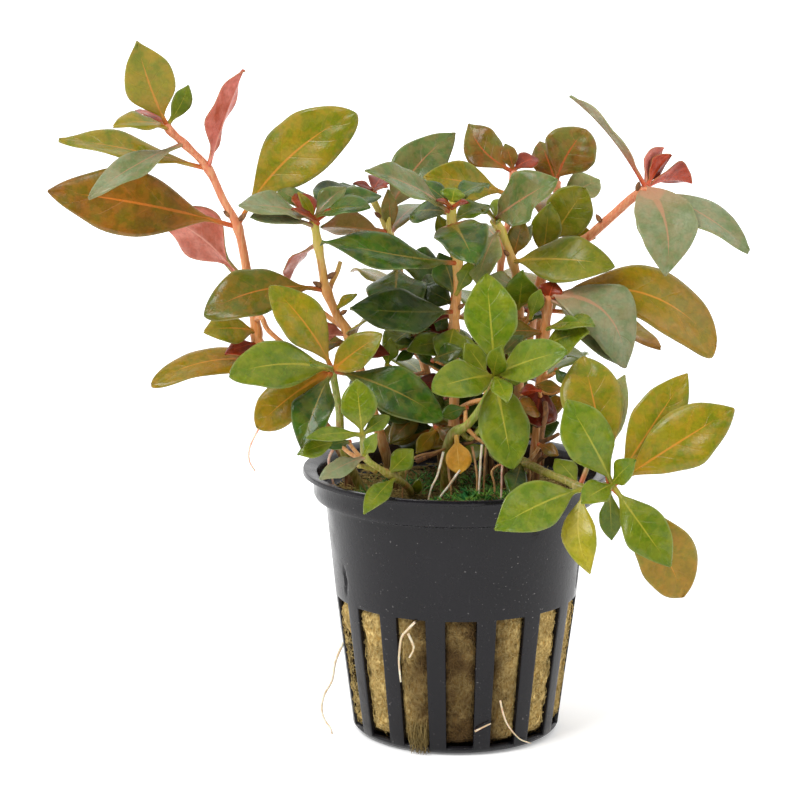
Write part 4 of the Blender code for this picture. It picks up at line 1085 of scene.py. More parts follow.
def shape_leaf(name, spec, route, sheet, rng):
    """Lays a copy of the flat sheet along the leaf's bow, folds it, quilts it between its veins,
    waves its margin, and gives it its thickness."""
    anchor = nearest(spec["root"], route)
    root = anchor - ROOTED * (spec["tip"] - anchor).normalized()
    run = spec["tip"] - root
    along = run.normalized()
    up = (spec["faces"] - spec["faces"].dot(along) * along).normalized()
    side = along.cross(up)
    length = run.length
    size = spec["width"] / 10
    wave_turns = rng.uniform(1.4, 2.6)
    wave_start = rng.uniform(0, 2 * math.pi)
    wave_high = rng.uniform(0.2, 0.65) * size
    other_wave = rng.uniform(0.6, 1.4)
    twist = math.radians(rng.uniform(-9, 9))
    tip_drop = rng.uniform(-0.2, 0.9) * size
    roll = rng.uniform(-0.1, 0.5) * size
    sweep = OWN_SWEEP.get(name, spec["sweep"])
    lopsided = rng.uniform(-0.05, 0.05)
    form = (rng.uniform(0.09, 0.13), rng.uniform(0.5, 0.58), rng.uniform(0.72, 0.92))
    form = ROUND_TIPS.get(name, form)
    form = form if len(form) == 4 else (*form, BASE_POWER)
    ragged = rng.uniform(0, 50)
    mesh = sheet.data.copy()
    mesh.name = name
    piece = bpy.data.objects.new(name, mesh)
    bpy.context.collection.objects.link(piece)
    thick = piece.vertex_groups.new(name="thick")
    placed = []
    for vertex in mesh.vertices:
        across = vertex.co.x * 2
        share = math.sin(math.pi / 2 * (vertex.co.y + 0.5)) ** 1.3
        out = abs(across)
        bow = 4 * share * (1 - share)
        reach = half_width(share, spec["width"], form) * (1 + lopsided * (1 if across > 0 else -1))
        half = 1 if across > 0 else 4
        reach *= 1 + RAGGED * noise.noise(Vector((share * 5.5, half, ragged)))
        turn = twist * (share - 0.35)
        across_way = side * math.cos(turn) + up * math.sin(turn)
        up_way = up * math.cos(turn) - side * math.sin(turn)
        middle = root + run * share + up * spec["arch"] * bow + side * sweep * bow
        phase = share * VEINS - out * VEIN_SLANT + (0.5 if across > 0 else 0.0)
        blade = min(1.0, max(0.0, (share - 0.14) / 0.12))
        lift = reach * out * math.sin(spec["fold"])
        lift += QUILT * size**0.5 * (0.5 - 0.5 * math.cos(2 * math.pi * phase)) * math.sin(math.pi * out) * blade
        wave = math.sin(2 * math.pi * wave_turns * share * (other_wave if across > 0 else 1) + wave_start)
        lift += wave_high * wave * out**2 * blade
        lift -= roll * out**4 * blade + tip_drop * share**5
        placed.append((middle + across_way * reach * across * math.cos(spec["fold"]) + up_way * lift) * MM)
        rib = math.exp(-((reach * across / 0.45) ** 2)) * (1 - 0.8 * share)
        wall = BLADE_THICK + (MARGIN_THICK - BLADE_THICK) * out**6 + (RIB_THICK - BLADE_THICK) * rib
        thick.add([vertex.index], min(1.0, wall / THICKEST), "REPLACE")
    shares = [(0.5 + v.co.x, math.sin(math.pi / 2 * (v.co.y + 0.5)) ** 1.3) for v in mesh.vertices]
    for loop, spot in zip(mesh.loops, mesh.uv_layers.active.data):
        spot.uv = shares[loop.vertex_index]
    for vertex, place in zip(mesh.vertices, placed):
        vertex.co = place
    for finish in leaf_finishes[OWN_TONES.get(name, spec["tone"])]:
        mesh.materials.append(finish)
    apply_modifier(
        piece, "SOLIDIFY", thickness=THICKEST * MM, offset=0, vertex_group="thick", material_offset=1,
        material_offset_rim=0, use_even_offset=False,
    )
    piece.vertex_groups.clear()
    piece.data.shade_smooth()
    return piece


def leaf_finish(name, main, second, rib, blush, paleness, red_stalk):
    """Leaf skin: a waxy film over green cells, so a soft wet shine, blotches where the red shows
    through, a coloured midrib, lighter side veins, and a thin pale margin."""
    finish, tree, shader, place = new_finish(
        name, Roughness=0.28, IOR=1.42, Specular_IOR_Level=0.3, Subsurface_Weight=0.06,
        Subsurface_Scale=0.0005, Coat_Weight=0.06, Coat_Roughness=0.12,
    )
    spot = add_node(tree, "ShaderNodeUVMap").outputs["UV"]
    axes = add_node(tree, "ShaderNodeSeparateXYZ", {0: spot})
    from_rib = sum_of(tree, "SUBTRACT", axes.outputs["X"], 0.5)
    out = sum_of(tree, "MULTIPLY", sum_of(tree, "ABSOLUTE", from_rib, 0), 2.0)
    share = axes.outputs["Y"]
    right_half = sum_of(tree, "GREATER_THAN", from_rib, 0.0)
    phase = sum_of(tree, "MULTIPLY", share, VEINS)
    phase = sum_of(tree, "SUBTRACT", phase, sum_of(tree, "MULTIPLY", out, VEIN_SLANT))
    phase = sum_of(tree, "ADD", phase, sum_of(tree, "MULTIPLY", right_half, 0.5))
    off_vein = sum_of(tree, "SUBTRACT", sum_of(tree, "FRACT", sum_of(tree, "ADD", phase, 0.5), 0), 0.5)
    off_vein = sum_of(tree, "ABSOLUTE", off_vein, 0)
    fading = between(tree, out, 0.95, 0.2)
    vein = sum_of(tree, "MULTIPLY", between(tree, off_vein, 0.06, 0.0), fading)
    widths = add_node(tree, "ShaderNodeValToRGB", {0: share})
    stops = ((0.0, 1.2), (0.1, 1.0), (0.2, 0.16), (0.42, 0.045), (0.7, 0.024), (0.86, 0.0))
    ramp = widths.color_ramp
    while len(ramp.elements) < len(stops):
        ramp.elements.new(0.5)
    for element, (position, width) in zip(ramp.elements, stops):
        element.position = position
        element.color = (width, width, width, 1)
    ratio = sum_of(tree, "DIVIDE", out, sum_of(tree, "ADD", widths.outputs["Color"], 0.001))
    midrib = between(tree, ratio, 1.25, 0.6)
    blotch = between(tree, grain(tree, place, 4.5, 3.0), 0.4, 0.62)
    colour = blended(tree, blotch, linear(main), linear(second))
    cells = grain(tree, place, 0.5, 3.0)
    shade = between(tree, cells, 0.25, 0.75, 0.0, 1.0)
    colour = blended(tree, sum_of(tree, "MULTIPLY", shade, 0.22), colour, linear("#1c2406"))
    cloud = between(tree, grain(tree, place, 1.6, 2.0), 0.42, 0.6)
    colour = blended(tree, sum_of(tree, "MULTIPLY", cloud, 0.16), colour, linear(rib))
    colour = blended(tree, sum_of(tree, "MULTIPLY", vein, 0.1), colour, linear(rib))
    near_base = sum_of(tree, "MULTIPLY", between(tree, share, 0.45, 0.08), blush)
    colour = blended(tree, near_base, colour, linear(rib))
    margin = sum_of(tree, "MULTIPLY", between(tree, out, 0.9, 1.0), paleness)
    colour = blended(tree, margin, colour, linear("#a9b072"))
    colour = blended(tree, sum_of(tree, "MULTIPLY", midrib, 0.72), colour, linear(rib))
    stalk = sum_of(tree, "MULTIPLY", between(tree, share, 0.16, 0.06), red_stalk)
    colour = blended(tree, stalk, colour, linear(STALK_RED))
    tree.links.new(colour, shader.inputs["Base Color"])
    wet = between(tree, grain(tree, place, 3.0, 2.0), 0.35, 0.65, 0.2, 0.38)
    tree.links.new(wet, shader.inputs["Roughness"])
    relief = sum_of(tree, "SUBTRACT", sum_of(tree, "MULTIPLY", cells, 0.5), sum_of(tree, "MULTIPLY", vein, 0.35))
    raise_surface(tree, shader, relief, 0.09)
    return finish


leaf_finishes = {
    tone: tuple(
        leaf_finish(f"{side}_{tone}", *tints, BLUSH.get(tone, BLUSH_USUAL), paleness, 0.1 if tone in GREEN_STALKS else 0.75)
        for side, tints, paleness in (("waxy_leaf_upper", upper, 0.2), ("matt_leaf_under", under, 0.15))
    )
    for tone, (upper, under) in TONES.items()
}
leaf_rng = random.Random(3)
large_sheet = blade_sheet("large_blade_sheet", BLADE_COLUMNS, BLADE_ROWS)
for name, shoot in SHOOTS.items():
    for number, spec in enumerate(shoot["leaves"], 1):
        blade = shape_leaf(f"blade_{name}_{number}", spec, routes[name], large_sheet, leaf_rng)
        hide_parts(f"leaf_{name}_{number}")
        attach(blade, "root")
bpy.data.objects.remove(large_sheet, do_unlink=True)

# Small leaves: the young and side leaves of each shoot, made as the large ones are, and joined
# into one piece a shoot, because they grow into its stem.
def joined(name, blades):
    """Several leaves as one piece."""
    bpy.ops.object.select_all(action="DESELECT")
    for blade in blades:
        blade.select_set(True)
    bpy.context.view_layer.objects.active = blades[0]
    bpy.ops.object.join()
    piece = bpy.context.object
    piece.name = name
    piece.select_set(False)
    return piece


small_sheet = blade_sheet("small_blade_sheet", SMALL_COLUMNS, SMALL_ROWS)
for name, shoot in SHOOTS.items():
    blades = [
        shape_leaf(f"young_leaves_{name}_{number}", spec, routes[name], small_sheet, leaf_rng)
        for number, spec in enumerate(shoot["small"], 1)
    ]
    young = joined("young_leaves_" + name, blades)
    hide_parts("stem_" + name)
    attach(young, "root")
bpy.data.objects.remove(small_sheet, do_unlink=True)

# Inner leaves: small shaded leaves deep in the bunch. Some stand where they show between the large ones,
# each on a thin side twig of its stem, and the rest grow from the stem itself and fill the dark heart of the bunch.
TWIG_THICK = (0.85, 0.6)
SHOWING_LEAVES = {
    "mid_left": [
        leaf("red", (-24.5, -5.5, 92.6), (-28.6, -9.5, 95.6), 2.4, (0.1, -0.6, 0.8), 0.4, 22),
        leaf("olive", (-25, -5, 92.8), (-27.6, -7.5, 98.2), 2.2, (0.4, -0.8, 0.3), 0.3, 22),
        leaf("red", (-24.5, -5, 92.8), (-20.5, -8.5, 95.2), 2.4, (-0.1, -0.6, 0.8), 0.4, 22),
        leaf("grey", (-25, -4.5, 93), (-19.5, -2.5, 98.6), 4.6, (-0.3, -0.8, 0.5), 0.8, 24),
        leaf("grey", (-25, -4.5, 93), (-31.5, 1, 97.5), 5.0, (0.2, -0.6, 0.8), 0.8, 18),
        leaf("dark", (-24.5, -4, 93), (-13.5, 1, 96.5), 6.0, (-0.2, -0.6, 0.8), 1.2, 20),
        leaf("olive", (-21.3, -4.3, 77), (-17.5, -5, 80), 2.2, (0, -0.6, 0.8), 0.3, 16),
        leaf("silver", (-25.5, -5.6, 92.2), (-35.4, -12, 94.6), 5.0, (0, -0.6, 0.8), 0.7, 14),
    ],
    "back_left": [
        leaf("red", (-15, 10, 96), (-18.5, 7, 98), 2.2, (0.1, -0.6, 0.8), 0.3, 22),
        leaf("red", (-15.2, 10, 96), (-12.5, 6.5, 97.5), 2.2, (-0.1, -0.6, 0.8), 0.3, 22),
        leaf("dark", (-7.5, 4, 69.3), (-10.8, 2, 70.1), 2.2, (0, -0.8, 0.6), 0.5, 12),
        leaf("dark", (-7.5, 4, 67.9), (-10.8, 1, 67.0), 2.2, (0, -0.8, 0.6), 0.5, 12),
        leaf("deep_green", (-4, 8, 53), (-12.5, 7, 55), 5, (0, -0.8, 0.6), 0.8, 12),
        leaf("olive_brown", (-5.5, 8, 57), (-12, 4, 51.5), 4.6, (0, -0.8, 0.6), 0.8, 12),
        leaf("deep_green", (-4, 9, 50), (-11, 12, 50), 4.6, (0, -0.8, 0.6), 0.8, 12),
        leaf("bright", (-12.4, -2, 67), (-11.6, -4, 72), 3.2, (0.2, -1, 0.3), 0.4, 12),
        leaf("olive_brown", (-13, 9, 89), (-24.2, 2, 91.2), 6.6, (0.05, 0.8, 0.5), 0.6, 14),
        leaf("bronze", (-12, 10, 88.5), (-12.4, 8, 96.8), 3.2, (0.2, -1, 0.2), 0.3, 12),
        leaf("green", (-6, 7, 74.5), (-2.5, 4, 69.5), 4.4, (0, -0.9, 0.4), 0.5, 12),
        leaf("dark", (-5, 8.5, 55.5), (-14.5, 6, 57.5), 5.6, (0, -0.85, 0.45), 0.8, 12),
        leaf("olive_brown", (-4.5, 9, 52.5), (-14, 10, 51.5), 5.0, (0, -0.85, 0.45), 0.8, 12),
    ],
    "centre": [
        leaf("red", (-1, -4.4, 95), (-3.6, -8, 97), 2.0, (0.1, -0.6, 0.8), 0.3, 22),
        leaf("red", (-1, -4.4, 95), (1.8, -7.5, 96.5), 2.0, (-0.1, -0.6, 0.8), 0.3, 22),
        leaf("dark", (-1, -4, 95), (-7, 1, 99), 4.2, (0.1, -0.7, 0.7), 0.8, 18),
        leaf("dark", (-7, 2, 68), (-4, 0, 66.5), 2.2, (0, -0.8, 0.6), 0.5, 12),
        leaf("dark", (-4, -6, 68.5), (1, -9, 71), 3.8, (0, -0.9, 0.5), 0.6, 12),
        leaf("olive", (-4, 3, 70.5), (-7.5, 1, 72.5), 2.4, (0, -0.6, 0.8), 0.4, 12),
        leaf("dark", (-3, 0, 71.5), (-2.5, 0, 76), 2.6, (0, -1, 0.2), 0.4, 12),
        leaf("green", (0, -2, 68.5), (3, -3, 71), 2.6, (0, -0.7, 0.7), 0.4, 12),
        leaf("deep_green", (0.5, 0, 56), (8, 3, 60), 5, (0, -0.8, 0.6), 0.8, 12),
        leaf("deep_green", (-0.5, 1, 52), (6.5, 3, 54.5), 4.6, (0, -0.8, 0.6), 0.8, 12),
        leaf("brown", (0, -7, 56), (-3, -10, 54.5), 3.4, (0, -0.9, 0.4), 0.5, 12),
        leaf("golden", (-3.5, -6, 56), (-7, -9, 52.5), 3.2, (0, -0.9, 0.4), 0.5, 12),
        leaf("green", (-1, -4, 92.4), (5.6, 2, 94.6), 4.8, (0, -0.5, 0.85), 0.7, 14),
        leaf("green_gold", (-0.8, -2.8, 86.4), (-3.4, 1, 93.2), 3.2, (0.2, -1, 0.2), 0.4, 12),
        leaf("dark", (-0.8, -2.6, 79), (-3.2, -3, 87), 5.8, (0, -1, 0.3), 0.6, 10, 0.6),
        leaf("green", (0, -3.4, 80), (2.6, -4, 85.6), 3.2, (0, -1, 0.3), 0.3, 12),
        leaf("deep_green", (-0.6, -1, 77.5), (-6.4, 0, 80.5), 5.2, (0, -0.9, 0.4), 0.6, 12),
        leaf("green", (0, -3, 73), (2.4, -7, 68), 4.2, (0, -0.9, 0.4), 0.5, 12),
        leaf("dark", (0, 1.5, 59.5), (-5.5, 6, 58.5), 4.6, (0, -0.85, 0.45), 0.6, 12),
        leaf("olive_brown", (0, 1.5, 57), (5.8, 5, 55), 4.4, (0, -0.85, 0.45), 0.6, 12),
        leaf("brown", (-3.5, -9, 57), (0.5, -12, 55), 3.2, (0.1, -0.9, 0.4), 0.5, 12),
    ],
    "mid_right": [
        leaf("olive", (6.8, 2.5, 91.5), (4.4, -1, 94.5), 2.2, (0.1, -0.6, 0.8), 0.3, 20),
        leaf("green", (6.8, 2.5, 91.5), (9.5, -1.5, 93.5), 2.4, (-0.1, -0.6, 0.8), 0.3, 20),
        leaf("bright", (13, -4, 76), (14.5, -6, 81), 3, (0, -1, 0.3), 0.4, 12),
        leaf("red", (14, -3, 77.5), (17, -5, 79.5), 1.8, (0, 0.8, 0.4), 0.4, 12),
        leaf("dark", (9.5, -2, 69.5), (13, -4, 71), 2.4, (0, -0.7, 0.6), 0.4, 12),
        leaf("olive_brown", (9.8, 4, 85), (11.6, 3, 92.2), 4.2, (0, -1, 0.2), 0.4, 12),
        leaf("silver", (10.2, 5, 86.5), (13.2, 4, 91), 2.4, (0, -1, 0.3), 0.3, 12),
        leaf("green", (8.5, 0, 64), (13, -1, 66), 3, (0, -0.8, 0.6), 0.5, 12),
    ],
    "front_centre": [
        leaf("grey", (7.5, -13, 70.5), (11.5, -12, 74), 3, (0, -0.8, 0.6), 0.5, 12),
        leaf("green", (5.2, -9, 66.6), (1.4, -9, 72), 4.6, (0, -0.9, 0.4), 0.5, 12),
        leaf("dark", (1.5, -9, 60.5), (-3, -12, 59.5), 2.8, (0, -0.9, 0.4), 0.5, 12),
        leaf("bright", (3, -12, 56.5), (5.5, -14, 58), 1.8, (0, -0.9, 0.4), 0.4, 12),
        leaf("grey", (5.5, -14, 55), (7.5, -16, 52.5), 1.8, (0, -0.9, 0.4), 0.4, 12),
    ],
    "back_top": [
        leaf("bronze", (10, 13.8, 99.4), (8.6, 15, 104.2), 3.2, (0.2, -1, 0.3), 0.3, 12),
        leaf("dark", (6.5, 7.5, 52.5), (-1.5, 5, 57.5), 4.8, (0, -0.8, 0.6), 0.8, 12),
        leaf("olive_brown", (6.8, 7.5, 62), (13.5, 6, 60), 4.8, (0, -0.8, 0.6), 0.8, 12),
    ],
    "back_right": [
        leaf("green_gold", (15.4, 13, 83.4), (16.4, 9, 94), 5.6, (0, -1, 0.2), 0.5, 10),
        leaf("olive", (17.6, 17, 88), (24.8, 13, 87.5), 4.0, (0, -1, 0.4), 0.4, 12),
    ],
    "far_right": [
        leaf("red", (33.4, 1.6, 98.6), (37.6, 6, 103.4), 4.2, (-0.3, 0.6, 0.3), 0.4, 20),
        leaf("deep_green", (11, 7.5, 51), (18.5, 8, 54.5), 4.8, (0, -0.8, 0.6), 0.8, 12),
        leaf("brown", (11.5, 7.5, 55), (20, 9, 58.5), 4.8, (0, -0.8, 0.6), 0.8, 12),
    ],
    "right_arch": [
        leaf("silver", (16, -4, 79), (29, -8.4, 68.3), 7, (0.25, -0.85, 0.5), 1.8, 8, -0.5),
        leaf("dark", (17.5, -8, 67), (19, -10, 65), 2.2, (0, -0.9, 0.4), 0.4, 12),
        leaf("red", (14.5, -8, 63.5), (11, -9, 63.5), 2.6, (0, 0.9, 0.4), 0.5, 12),
        leaf("brown", (18.5, -7, 63.5), (14, -8, 64.5), 2.4, (0, -0.9, 0.4), 0.5, 12),
    ],
    "front_left": [
        leaf("bright", (-7, -12, 46), (-6.5, -14, 49), 1.8, (0, -0.9, 0.3), 0.4, 12),
        leaf("bright", (-20.5, -19, 56.4), (-27.2, -21, 54.8), 3.8, (0, -0.8, 0.6), 0.5, 12),
        leaf("dark", (-18.6, -18.5, 56.4), (-22.2, -20, 55.8), 2.4, (0, -0.8, 0.6), 0.4, 12),
    ],
    "low_right": [
        leaf("brown", (14.5, -14, 55), (17.5, -17, 54), 2.4, (0, -0.9, 0.4), 0.4, 12),
    ],
}
HIDDEN_LEAVES = {      # how many more each stem carries inside the bunch
    "back_left": 11, "centre": 10, "mid_right": 11, "back_top": 12, "back_right": 11, "far_right": 12,
    "right_arch": 6, "mid_left": 5,
}
HIDDEN_LOW, HIDDEN_HIGH = 48.0, 76.0
HIDDEN_MIDDLE = Vector((3, 8, 0))
HIDDEN_TONES = ("dark", "deep_green", "deep_green", "green", "olive_brown", "brown", "deep_red")


def hidden_leaf(route, rng):
    """A leaf inside the bunch, which leaves its stem at a chance height and heads for the middle."""
    low = [point for point in route if HIDDEN_LOW < point.z < HIDDEN_HIGH]
    root = rng.choice(low)
    inward = Vector((HIDDEN_MIDDLE.x - root.x, HIDDEN_MIDDLE.y - root.y, 0))
    heading = math.atan2(inward.y, inward.x) + rng.gauss(0, 1.2)
    length = rng.uniform(6.0, 11.5)
    tip = root + Vector((math.cos(heading), math.sin(heading), rng.uniform(-0.35, 0.55))) * length
    faces = (rng.uniform(-0.3, 0.3), -0.75, 0.65)
    return leaf(rng.choice(HIDDEN_TONES), root, tip, length * rng.uniform(0.42, 0.55), faces, 0.8, 12)


def side_twig(root, route):
    """A thin twig from the stem, a little lower down, that ends inside the leaf's stalk."""
    foot = nearest(root - Vector((0, 0, 0.35 * (nearest(root, route) - root).length)), route)
    middle = (foot + root) / 2 - Vector((0, 0, 0.08 * (root - foot).length))
    line = rounded_route([foot, middle, root], STEM_STEP)
    thick, thin = TWIG_THICK
    return [(*point, (thick + (thin - thick) * k / len(line)) / 2) for k, point in enumerate(line)]


inner_rng = random.Random(29)
inner_sheet = blade_sheet("inner_blade_sheet", SMALL_COLUMNS, SMALL_ROWS)
for name in HIDDEN_LEAVES | SHOWING_LEAVES:
    blades = []
    twigs = []
    for number, spec in enumerate(SHOWING_LEAVES.get(name, []), 1):
        blades.append(shape_leaf(f"inner_leaves_{name}_{number}", spec, [spec["root"]], inner_sheet, inner_rng))
        twigs.append(side_twig(spec["root"], routes[name]))
    for number in range(HIDDEN_LEAVES.get(name, 0)):
        spec = hidden_leaf(routes[name], inner_rng)
        blades.append(shape_leaf(f"hidden_leaves_{name}_{number}", spec, routes[name], inner_sheet, inner_rng))
    inner = joined("inner_leaves_" + name, blades)
    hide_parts("stem_" + name)
    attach(inner, "root")
    if twigs:
        finished(
            tubes("side_twigs_" + name, twigs, sides=2), stem_finishes["yellow_green"], "stem_skin", "stem_" + name
        )
bpy.data.objects.remove(inner_sheet, do_unlink=True)

# Twigs and buds: bare petioles that have lost their leaf, dry brown stalks low in the bunch, and
# round closed buds at the joints.
PETIOLES = {
    "tall_left": [
        [(-36, 4, 74), (-34.6, 0, 74.9), (-33.5, 0, 72.7), (-30.4, -2, 70.4)],
    ],
    "mid_left": [
        [(-22.6, -4.6, 79.6), (-22.2, -3, 81.3), (-21.1, -2, 83.5), (-20.6, -1, 85.1)],
        [(-19.5, -4, 73.5), (-24, -2, 76.5), (-28, -2, 80)],
    ],
    "back_left": [
        [(-11.5, 10, 85.5), (-12.3, 9, 89.6), (-12.2, 9, 92.6), (-11.9, 9, 95.7)],
        [(-6.5, 9.3, 67.5), (-9.5, 5, 68.6), (-13, 0, 69.4), (-17, -3, 69)],
    ],
    "centre": [
        [(-0.5, -0.5, 58), (2, -5, 60.5), (4.5, -9, 62), (6, -12, 62.5)],
    ],
    "front_left": [
        [(-9.6, -14, 48.6), (-9.3, -16, 51), (-8.7, -18, 52.9)],
        [(-13.7, -20, 51.7), (-15.3, -21, 52.6), (-16.8, -23, 53.3)],
    ],
    "front_centre": [
        [(1, -12.4, 57), (2, -12, 55.7), (3.5, -13, 56.8), (5.4, -14, 59.5)],
    ],
}
PETIOLE_THICK = (1.1, 0.8)
DRY_STALKS = [
    [(15.5, -6, 61), (15.6, -8, 59.4), (15.1, -9, 57.1), (14.8, -10, 55), (14.4, -10, 51.5), (14, -10, 44)],
    [(14.6, -10.5, 53.5), (14.9, -12, 55.2), (16.4, -13, 56.1), (17.7, -14, 57.1)],
    [(-7, -10, 51.2), (-3.5, -11, 53), (0.5, -12, 54.5), (4, -12, 55.5)],
    [(11, -9, 45), (12.5, -12, 49), (14.5, -14, 52.5), (17, -16, 54.5)],
    [(8, -8, 44), (8.6, -10, 49), (7.8, -12, 53), (8.5, -13, 56)],
]
DRY_THICK = (1.0, 0.6)
BUDS = {               # height of the joint, way the bud points, and its length
    "tall_left": [(91.6, (-0.7, -0.3, 0.6), 2.0), (91.4, (0.7, -0.3, 0.7), 2.2), (74, (0.7, -0.4, 0.5), 1.8)],
    "mid_left": [(81.2, (-0.8, -0.4, 0.5), 2.2), (82.4, (0.8, -0.3, 0.6), 2.2), (76, (0.7, -0.5, 0.5), 1.8)],
    "back_left": [(91, (-0.7, -0.4, 0.6), 1.8)],
    "centre": [(77, (0.7, -0.5, 0.6), 2.0), (86, (0.7, -0.4, 0.6), 1.8)],
    "mid_right": [(85.6, (-0.6, -0.5, 0.7), 1.8), (80, (0.7, -0.5, 0.6), 1.8)],
    "far_right": [(91, (-0.5, -0.5, 0.8), 2.0), (97, (0.1, -0.5, 0.9), 2.2)],
    "right_arch": [(78, (-0.6, -0.5, 0.7), 2.0)],
}
BUD_OUT = 0.7          # from the stem's middle to the bud's foot


def tapered(points, thick, thin):
    """A rounded route through the points as a strand that thins towards its end."""
    line = rounded_route(points, STEM_STEP)
    return [(*point, (thick + (thin - thick) * k / len(line)) / 2) for k, point in enumerate(line)]


def bud(route, height, way, length):
    """A pointed oval that sits on the stem at this height, drawn as a strand that swells and closes."""
    steps = 7
    heading = Vector(way).normalized()
    start = min(route, key=lambda point: abs(point.z - height)) + heading * BUD_OUT
    path = []
    for k in range(steps + 1):
        share = k / steps
        radius = 0.04 + 0.22 * length * math.sin(math.pi * share**0.75) ** 0.8
        path.append((*(start + heading * length * share), radius))
    return path


def dry_finish():
    """Dead stalk: rough, dull brown bark, split lengthwise."""
    finish, tree, shader, place = new_finish("dry_stalk_skin", Roughness=0.75, IOR=1.45)
    streak = grain(tree, place, 0.5, 3.0, (1, 1, 0.2))
    colour = blended(tree, between(tree, streak, 0.35, 0.65), linear("#5c3c22"), linear("#8f6238"))
    tree.links.new(colour, shader.inputs["Base Color"])
    raise_surface(tree, shader, streak, 0.12)
    return finish


for name, paths in PETIOLES.items():
    strands = [tapered(points, *PETIOLE_THICK) for points in paths]
    finish = stem_finishes[STEM_TINT_OF.get(name, "orange")]
    finished(tubes("bare_petioles_" + name, strands, sides=2), finish, "stem_skin", "stem_" + name)
dry_skin = dry_finish()
strands = [tapered(points, *DRY_THICK) for points in DRY_STALKS]
finished(tubes("dry_stalks", strands, sides=2), dry_skin, "stem_skin")
for name, places in BUDS.items():
    strands = [bud(routes[name], *place) for place in places]
    finished(tubes("joint_buds_" + name, strands, sides=4), dry_skin, "stem_skin", "stem_" + name)

# Roots: thin bare threads, white when young and tan when old, that hang from the low joints, push
# out of the slots, and run down into the wool.
ROOT_FOOT = 42.5
ROOTS = {              # colour: thickness, then the routes
    "pale": (0.5, [
        [(4.4, -14, 55.1), (4.2, -15, 53), (4.1, -16, 51.1), (3.8, -16.5, 46), (3.5, -16.5, ROOT_FOOT)],
        [(-2.3, -15, 54), (-3.3, -17, 50.3), (-4.4, -18, 48.1), (-5.2, -18, 44), (-5.4, -18, ROOT_FOOT)],
        [(0.6, -15.8, 51), (-1.2, -16.5, 48.5), (-3.4, -17, 45.5), (-4, -17, ROOT_FOOT)],
        [(-7.1, -20.9, 25.1), (-8.7, -20.3, 23.2), (-9.5, -19.8, 21.8), (-9.9, -19.2, 17.6), (-9.6, -18.6, 13.6)],
        [(-8.3, -20.4, 22.9), (-7.3, -20.4, 20.4), (-8.1, -19.9, 18.4)],
        [(-20.2, -3.6, 16.4), (-21.6, -4.6, 13.1), (-22.2, -5.4, 9.8), (-23.6, -6.4, 7.3), (-24, -7.4, 5),
         (-23.4, -8.4, 3.3), (-22.4, -9.4, 2.2), (-22, -10.4, 1.4)],
    ]),
    "peach": (0.55, [
        [(-20.8, -9, 63), (-27, -11, 62), (-33, -12, 59.5), (-34.7, -12, 57), (-36.1, -12, 54),
         (-36.2, -12, 51.6), (-35.2, -12, 49.8)],
        [(8.5, -17, 56), (7.9, -18, 52.5), (7.8, -18, 48.7), (7.6, -18, ROOT_FOOT)],
        [(-20.4, -9, 55), (-22, -9.5, 52.5), (-22.4, -9.5, 50.5), (-21.4, -9, 46), (-20.6, -8.6, ROOT_FOOT)],
    ]),
    "tan": (0.5, [
        [(5.3, -13, 56.3), (4.9, -14.5, 52.5), (4.8, -15.5, 49.4), (4.6, -15.5, ROOT_FOOT)],
        [(10.5, -15, 53), (8, -16.5, 52.4), (6.1, -17, 51.1), (6.6, -17, 48.4), (6.4, -17, ROOT_FOOT)],
        [(0.1, -11.6, 55), (-3.2, -12.6, 53.6), (-7.2, -13.6, 52.7), (-9, -14, 49.5), (-9.6, -14, ROOT_FOOT)],
        [(-1.5, -12, 53), (-1.3, -14, 49.7), (-0.9, -15, 47), (-0.8, -15, ROOT_FOOT)],
        [(2.7, -13.4, 54.6), (3.2, -15, 52.3), (3.6, -16, 49), (3.2, -16, ROOT_FOOT)],
        [(12, -12, 52), (12.8, -13.5, 50), (12.4, -14.5, 47), (12.6, -14.5, ROOT_FOOT)],
    ]),
    "cream": (0.36, [
        [(7.8, -18.9, 10.4), (8.3, -18.6, 8.1), (9.2, -17.9, 5.6), (11.2, -16.4, 2.7), (13.4, -14, 1.0)],
        [(3.4, -19.4, 4.9), (4.8, -19.2, 5.6), (6.2, -18.9, 6.2)],
    ]),
}
ROOT_COLOURS = {
    "pale": ("#e6dcc6", "#cdb894"),
    "peach": ("#dba287", "#e8c8b0"),
    "tan": ("#9c7245", "#b58c58"),
    "cream": ("#c8a884", "#dccaac"),
}


def root_finish(name):
    """Bare root: soft and damp, with a faint shine and uneven colour along it."""
    first, second = ROOT_COLOURS[name]
    finish, tree, shader, place = new_finish(
        f"bare_root_{name}", Roughness=0.5, IOR=1.4, Subsurface_Weight=0.2, Subsurface_Scale=0.0005
    )
    uneven = grain(tree, place, 1.6, 2.0)
    colour = blended(tree, between(tree, uneven, 0.38, 0.62), linear(first), linear(second))
    tree.links.new(colour, shader.inputs["Base Color"])
    raise_surface(tree, shader, grain(tree, place, 0.4), 0.05)
    return finish


for name, (thick, routes_of_roots) in ROOTS.items():
    strands = [tapered(points, thick, thick * 0.55) for points in routes_of_roots]
    finished(tubes("roots_" + name, strands, sides=1), root_finish(name), "stem_skin")

# Studio: a glowing white floor and a white surround that is brighter behind and above the plant than in
# front of it, with a large soft light high on the left and a weaker one on the right.
FLOOR_HALF = 3.0
SURROUND_FRONT = 0.05
SURROUND_BACK = 1.15
SURROUND_ABOVE = 0.25
GLOW_NEAR = 0.18       # the floor is opal acrylic, lit from beneath round the pot, not under it
GLOW_FAR = 0.68
GLOW_FROM = 0.08
GLOW_TO = 0.7

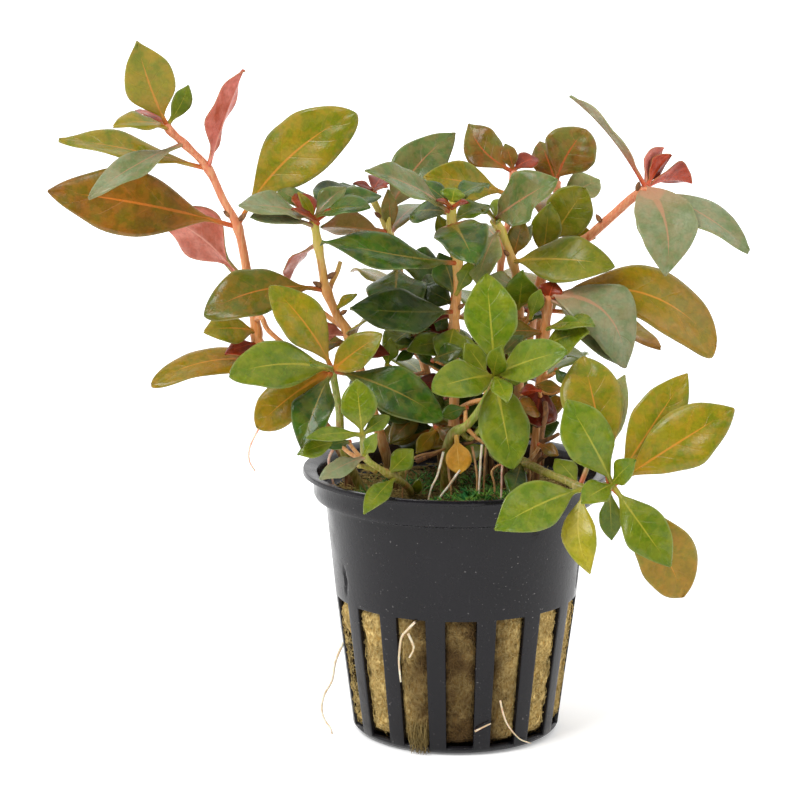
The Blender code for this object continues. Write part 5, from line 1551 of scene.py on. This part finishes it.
bpy.ops.mesh.primitive_plane_add(size=FLOOR_HALF * 2, location=(0, 0, 0))
floor = bpy.context.object
floor.name = "studio_floor"
bpy.ops.object.mode_set(mode="EDIT")
bpy.ops.mesh.subdivide(number_cuts=4)
bpy.ops.object.mode_set(mode="OBJECT")
floor.select_set(False)
acrylic, acrylic_tree, acrylic_shader, acrylic_place = new_finish(
    "matt_white_acrylic", Roughness=0.9, Emission_Color=(1, 1, 1, 1)
)
acrylic_tone = blended(acrylic_tree, grain(acrylic_tree, acrylic_place, 40.0), linear("#fdfdfd"), linear("#f8f8f8"))
acrylic_tree.links.new(acrylic_tone, acrylic_shader.inputs["Base Color"])
from_pot = add_node(acrylic_tree, "ShaderNodeVectorMath", {0: acrylic_place}, operation="LENGTH").outputs["Value"]
glow_share = between(acrylic_tree, from_pot, GLOW_FROM, GLOW_TO, GLOW_NEAR, GLOW_FAR)
acrylic_tree.links.new(glow_share, acrylic_shader.inputs["Emission Strength"])
floor.data.materials.append(acrylic)


def soft_light(name, place, aim, size, watts):
    """A square lamp with a diffuser, turned towards a point."""
    bpy.ops.object.light_add(type="AREA", location=place)
    lamp = bpy.context.object
    lamp.name = name
    lamp.rotation_euler = (Vector(aim) - Vector(place)).to_track_quat("-Z", "Y").to_euler()
    lamp.data.size = size
    lamp.data.energy = watts
    lamp.select_set(False)


soft_light("key_light", (-0.45, -0.45, 0.75), (0, 0, 0.06), 0.45, 6.9)
soft_light("fill_light", (0.6, -0.35, 0.4), (0, 0, 0.06), 0.5, 1.8)
surround = bpy.data.worlds.new("white_surround")
surround.use_nodes = True
sky = surround.node_tree
way = add_node(sky, "ShaderNodeSeparateXYZ", {0: add_node(sky, "ShaderNodeTexCoord").outputs["Generated"]})
glow = between(sky, way.outputs["Y"], -0.9, 0.3, SURROUND_FRONT, SURROUND_BACK)
glow = sum_of(sky, "ADD", glow, between(sky, way.outputs["Z"], 0.0, 0.9, 0.0, SURROUND_ABOVE))
seen = add_node(sky, "ShaderNodeLightPath").outputs["Is Camera Ray"]
sky.nodes["Background"].inputs["Color"].default_value = (1, 1, 1, 1)
sky.links.new(sum_of(sky, "MAXIMUM", seen, glow), sky.nodes["Background"].inputs["Strength"])
bpy.context.scene.world = surround
bpy.context.scene.view_settings.view_transform = "Standard"
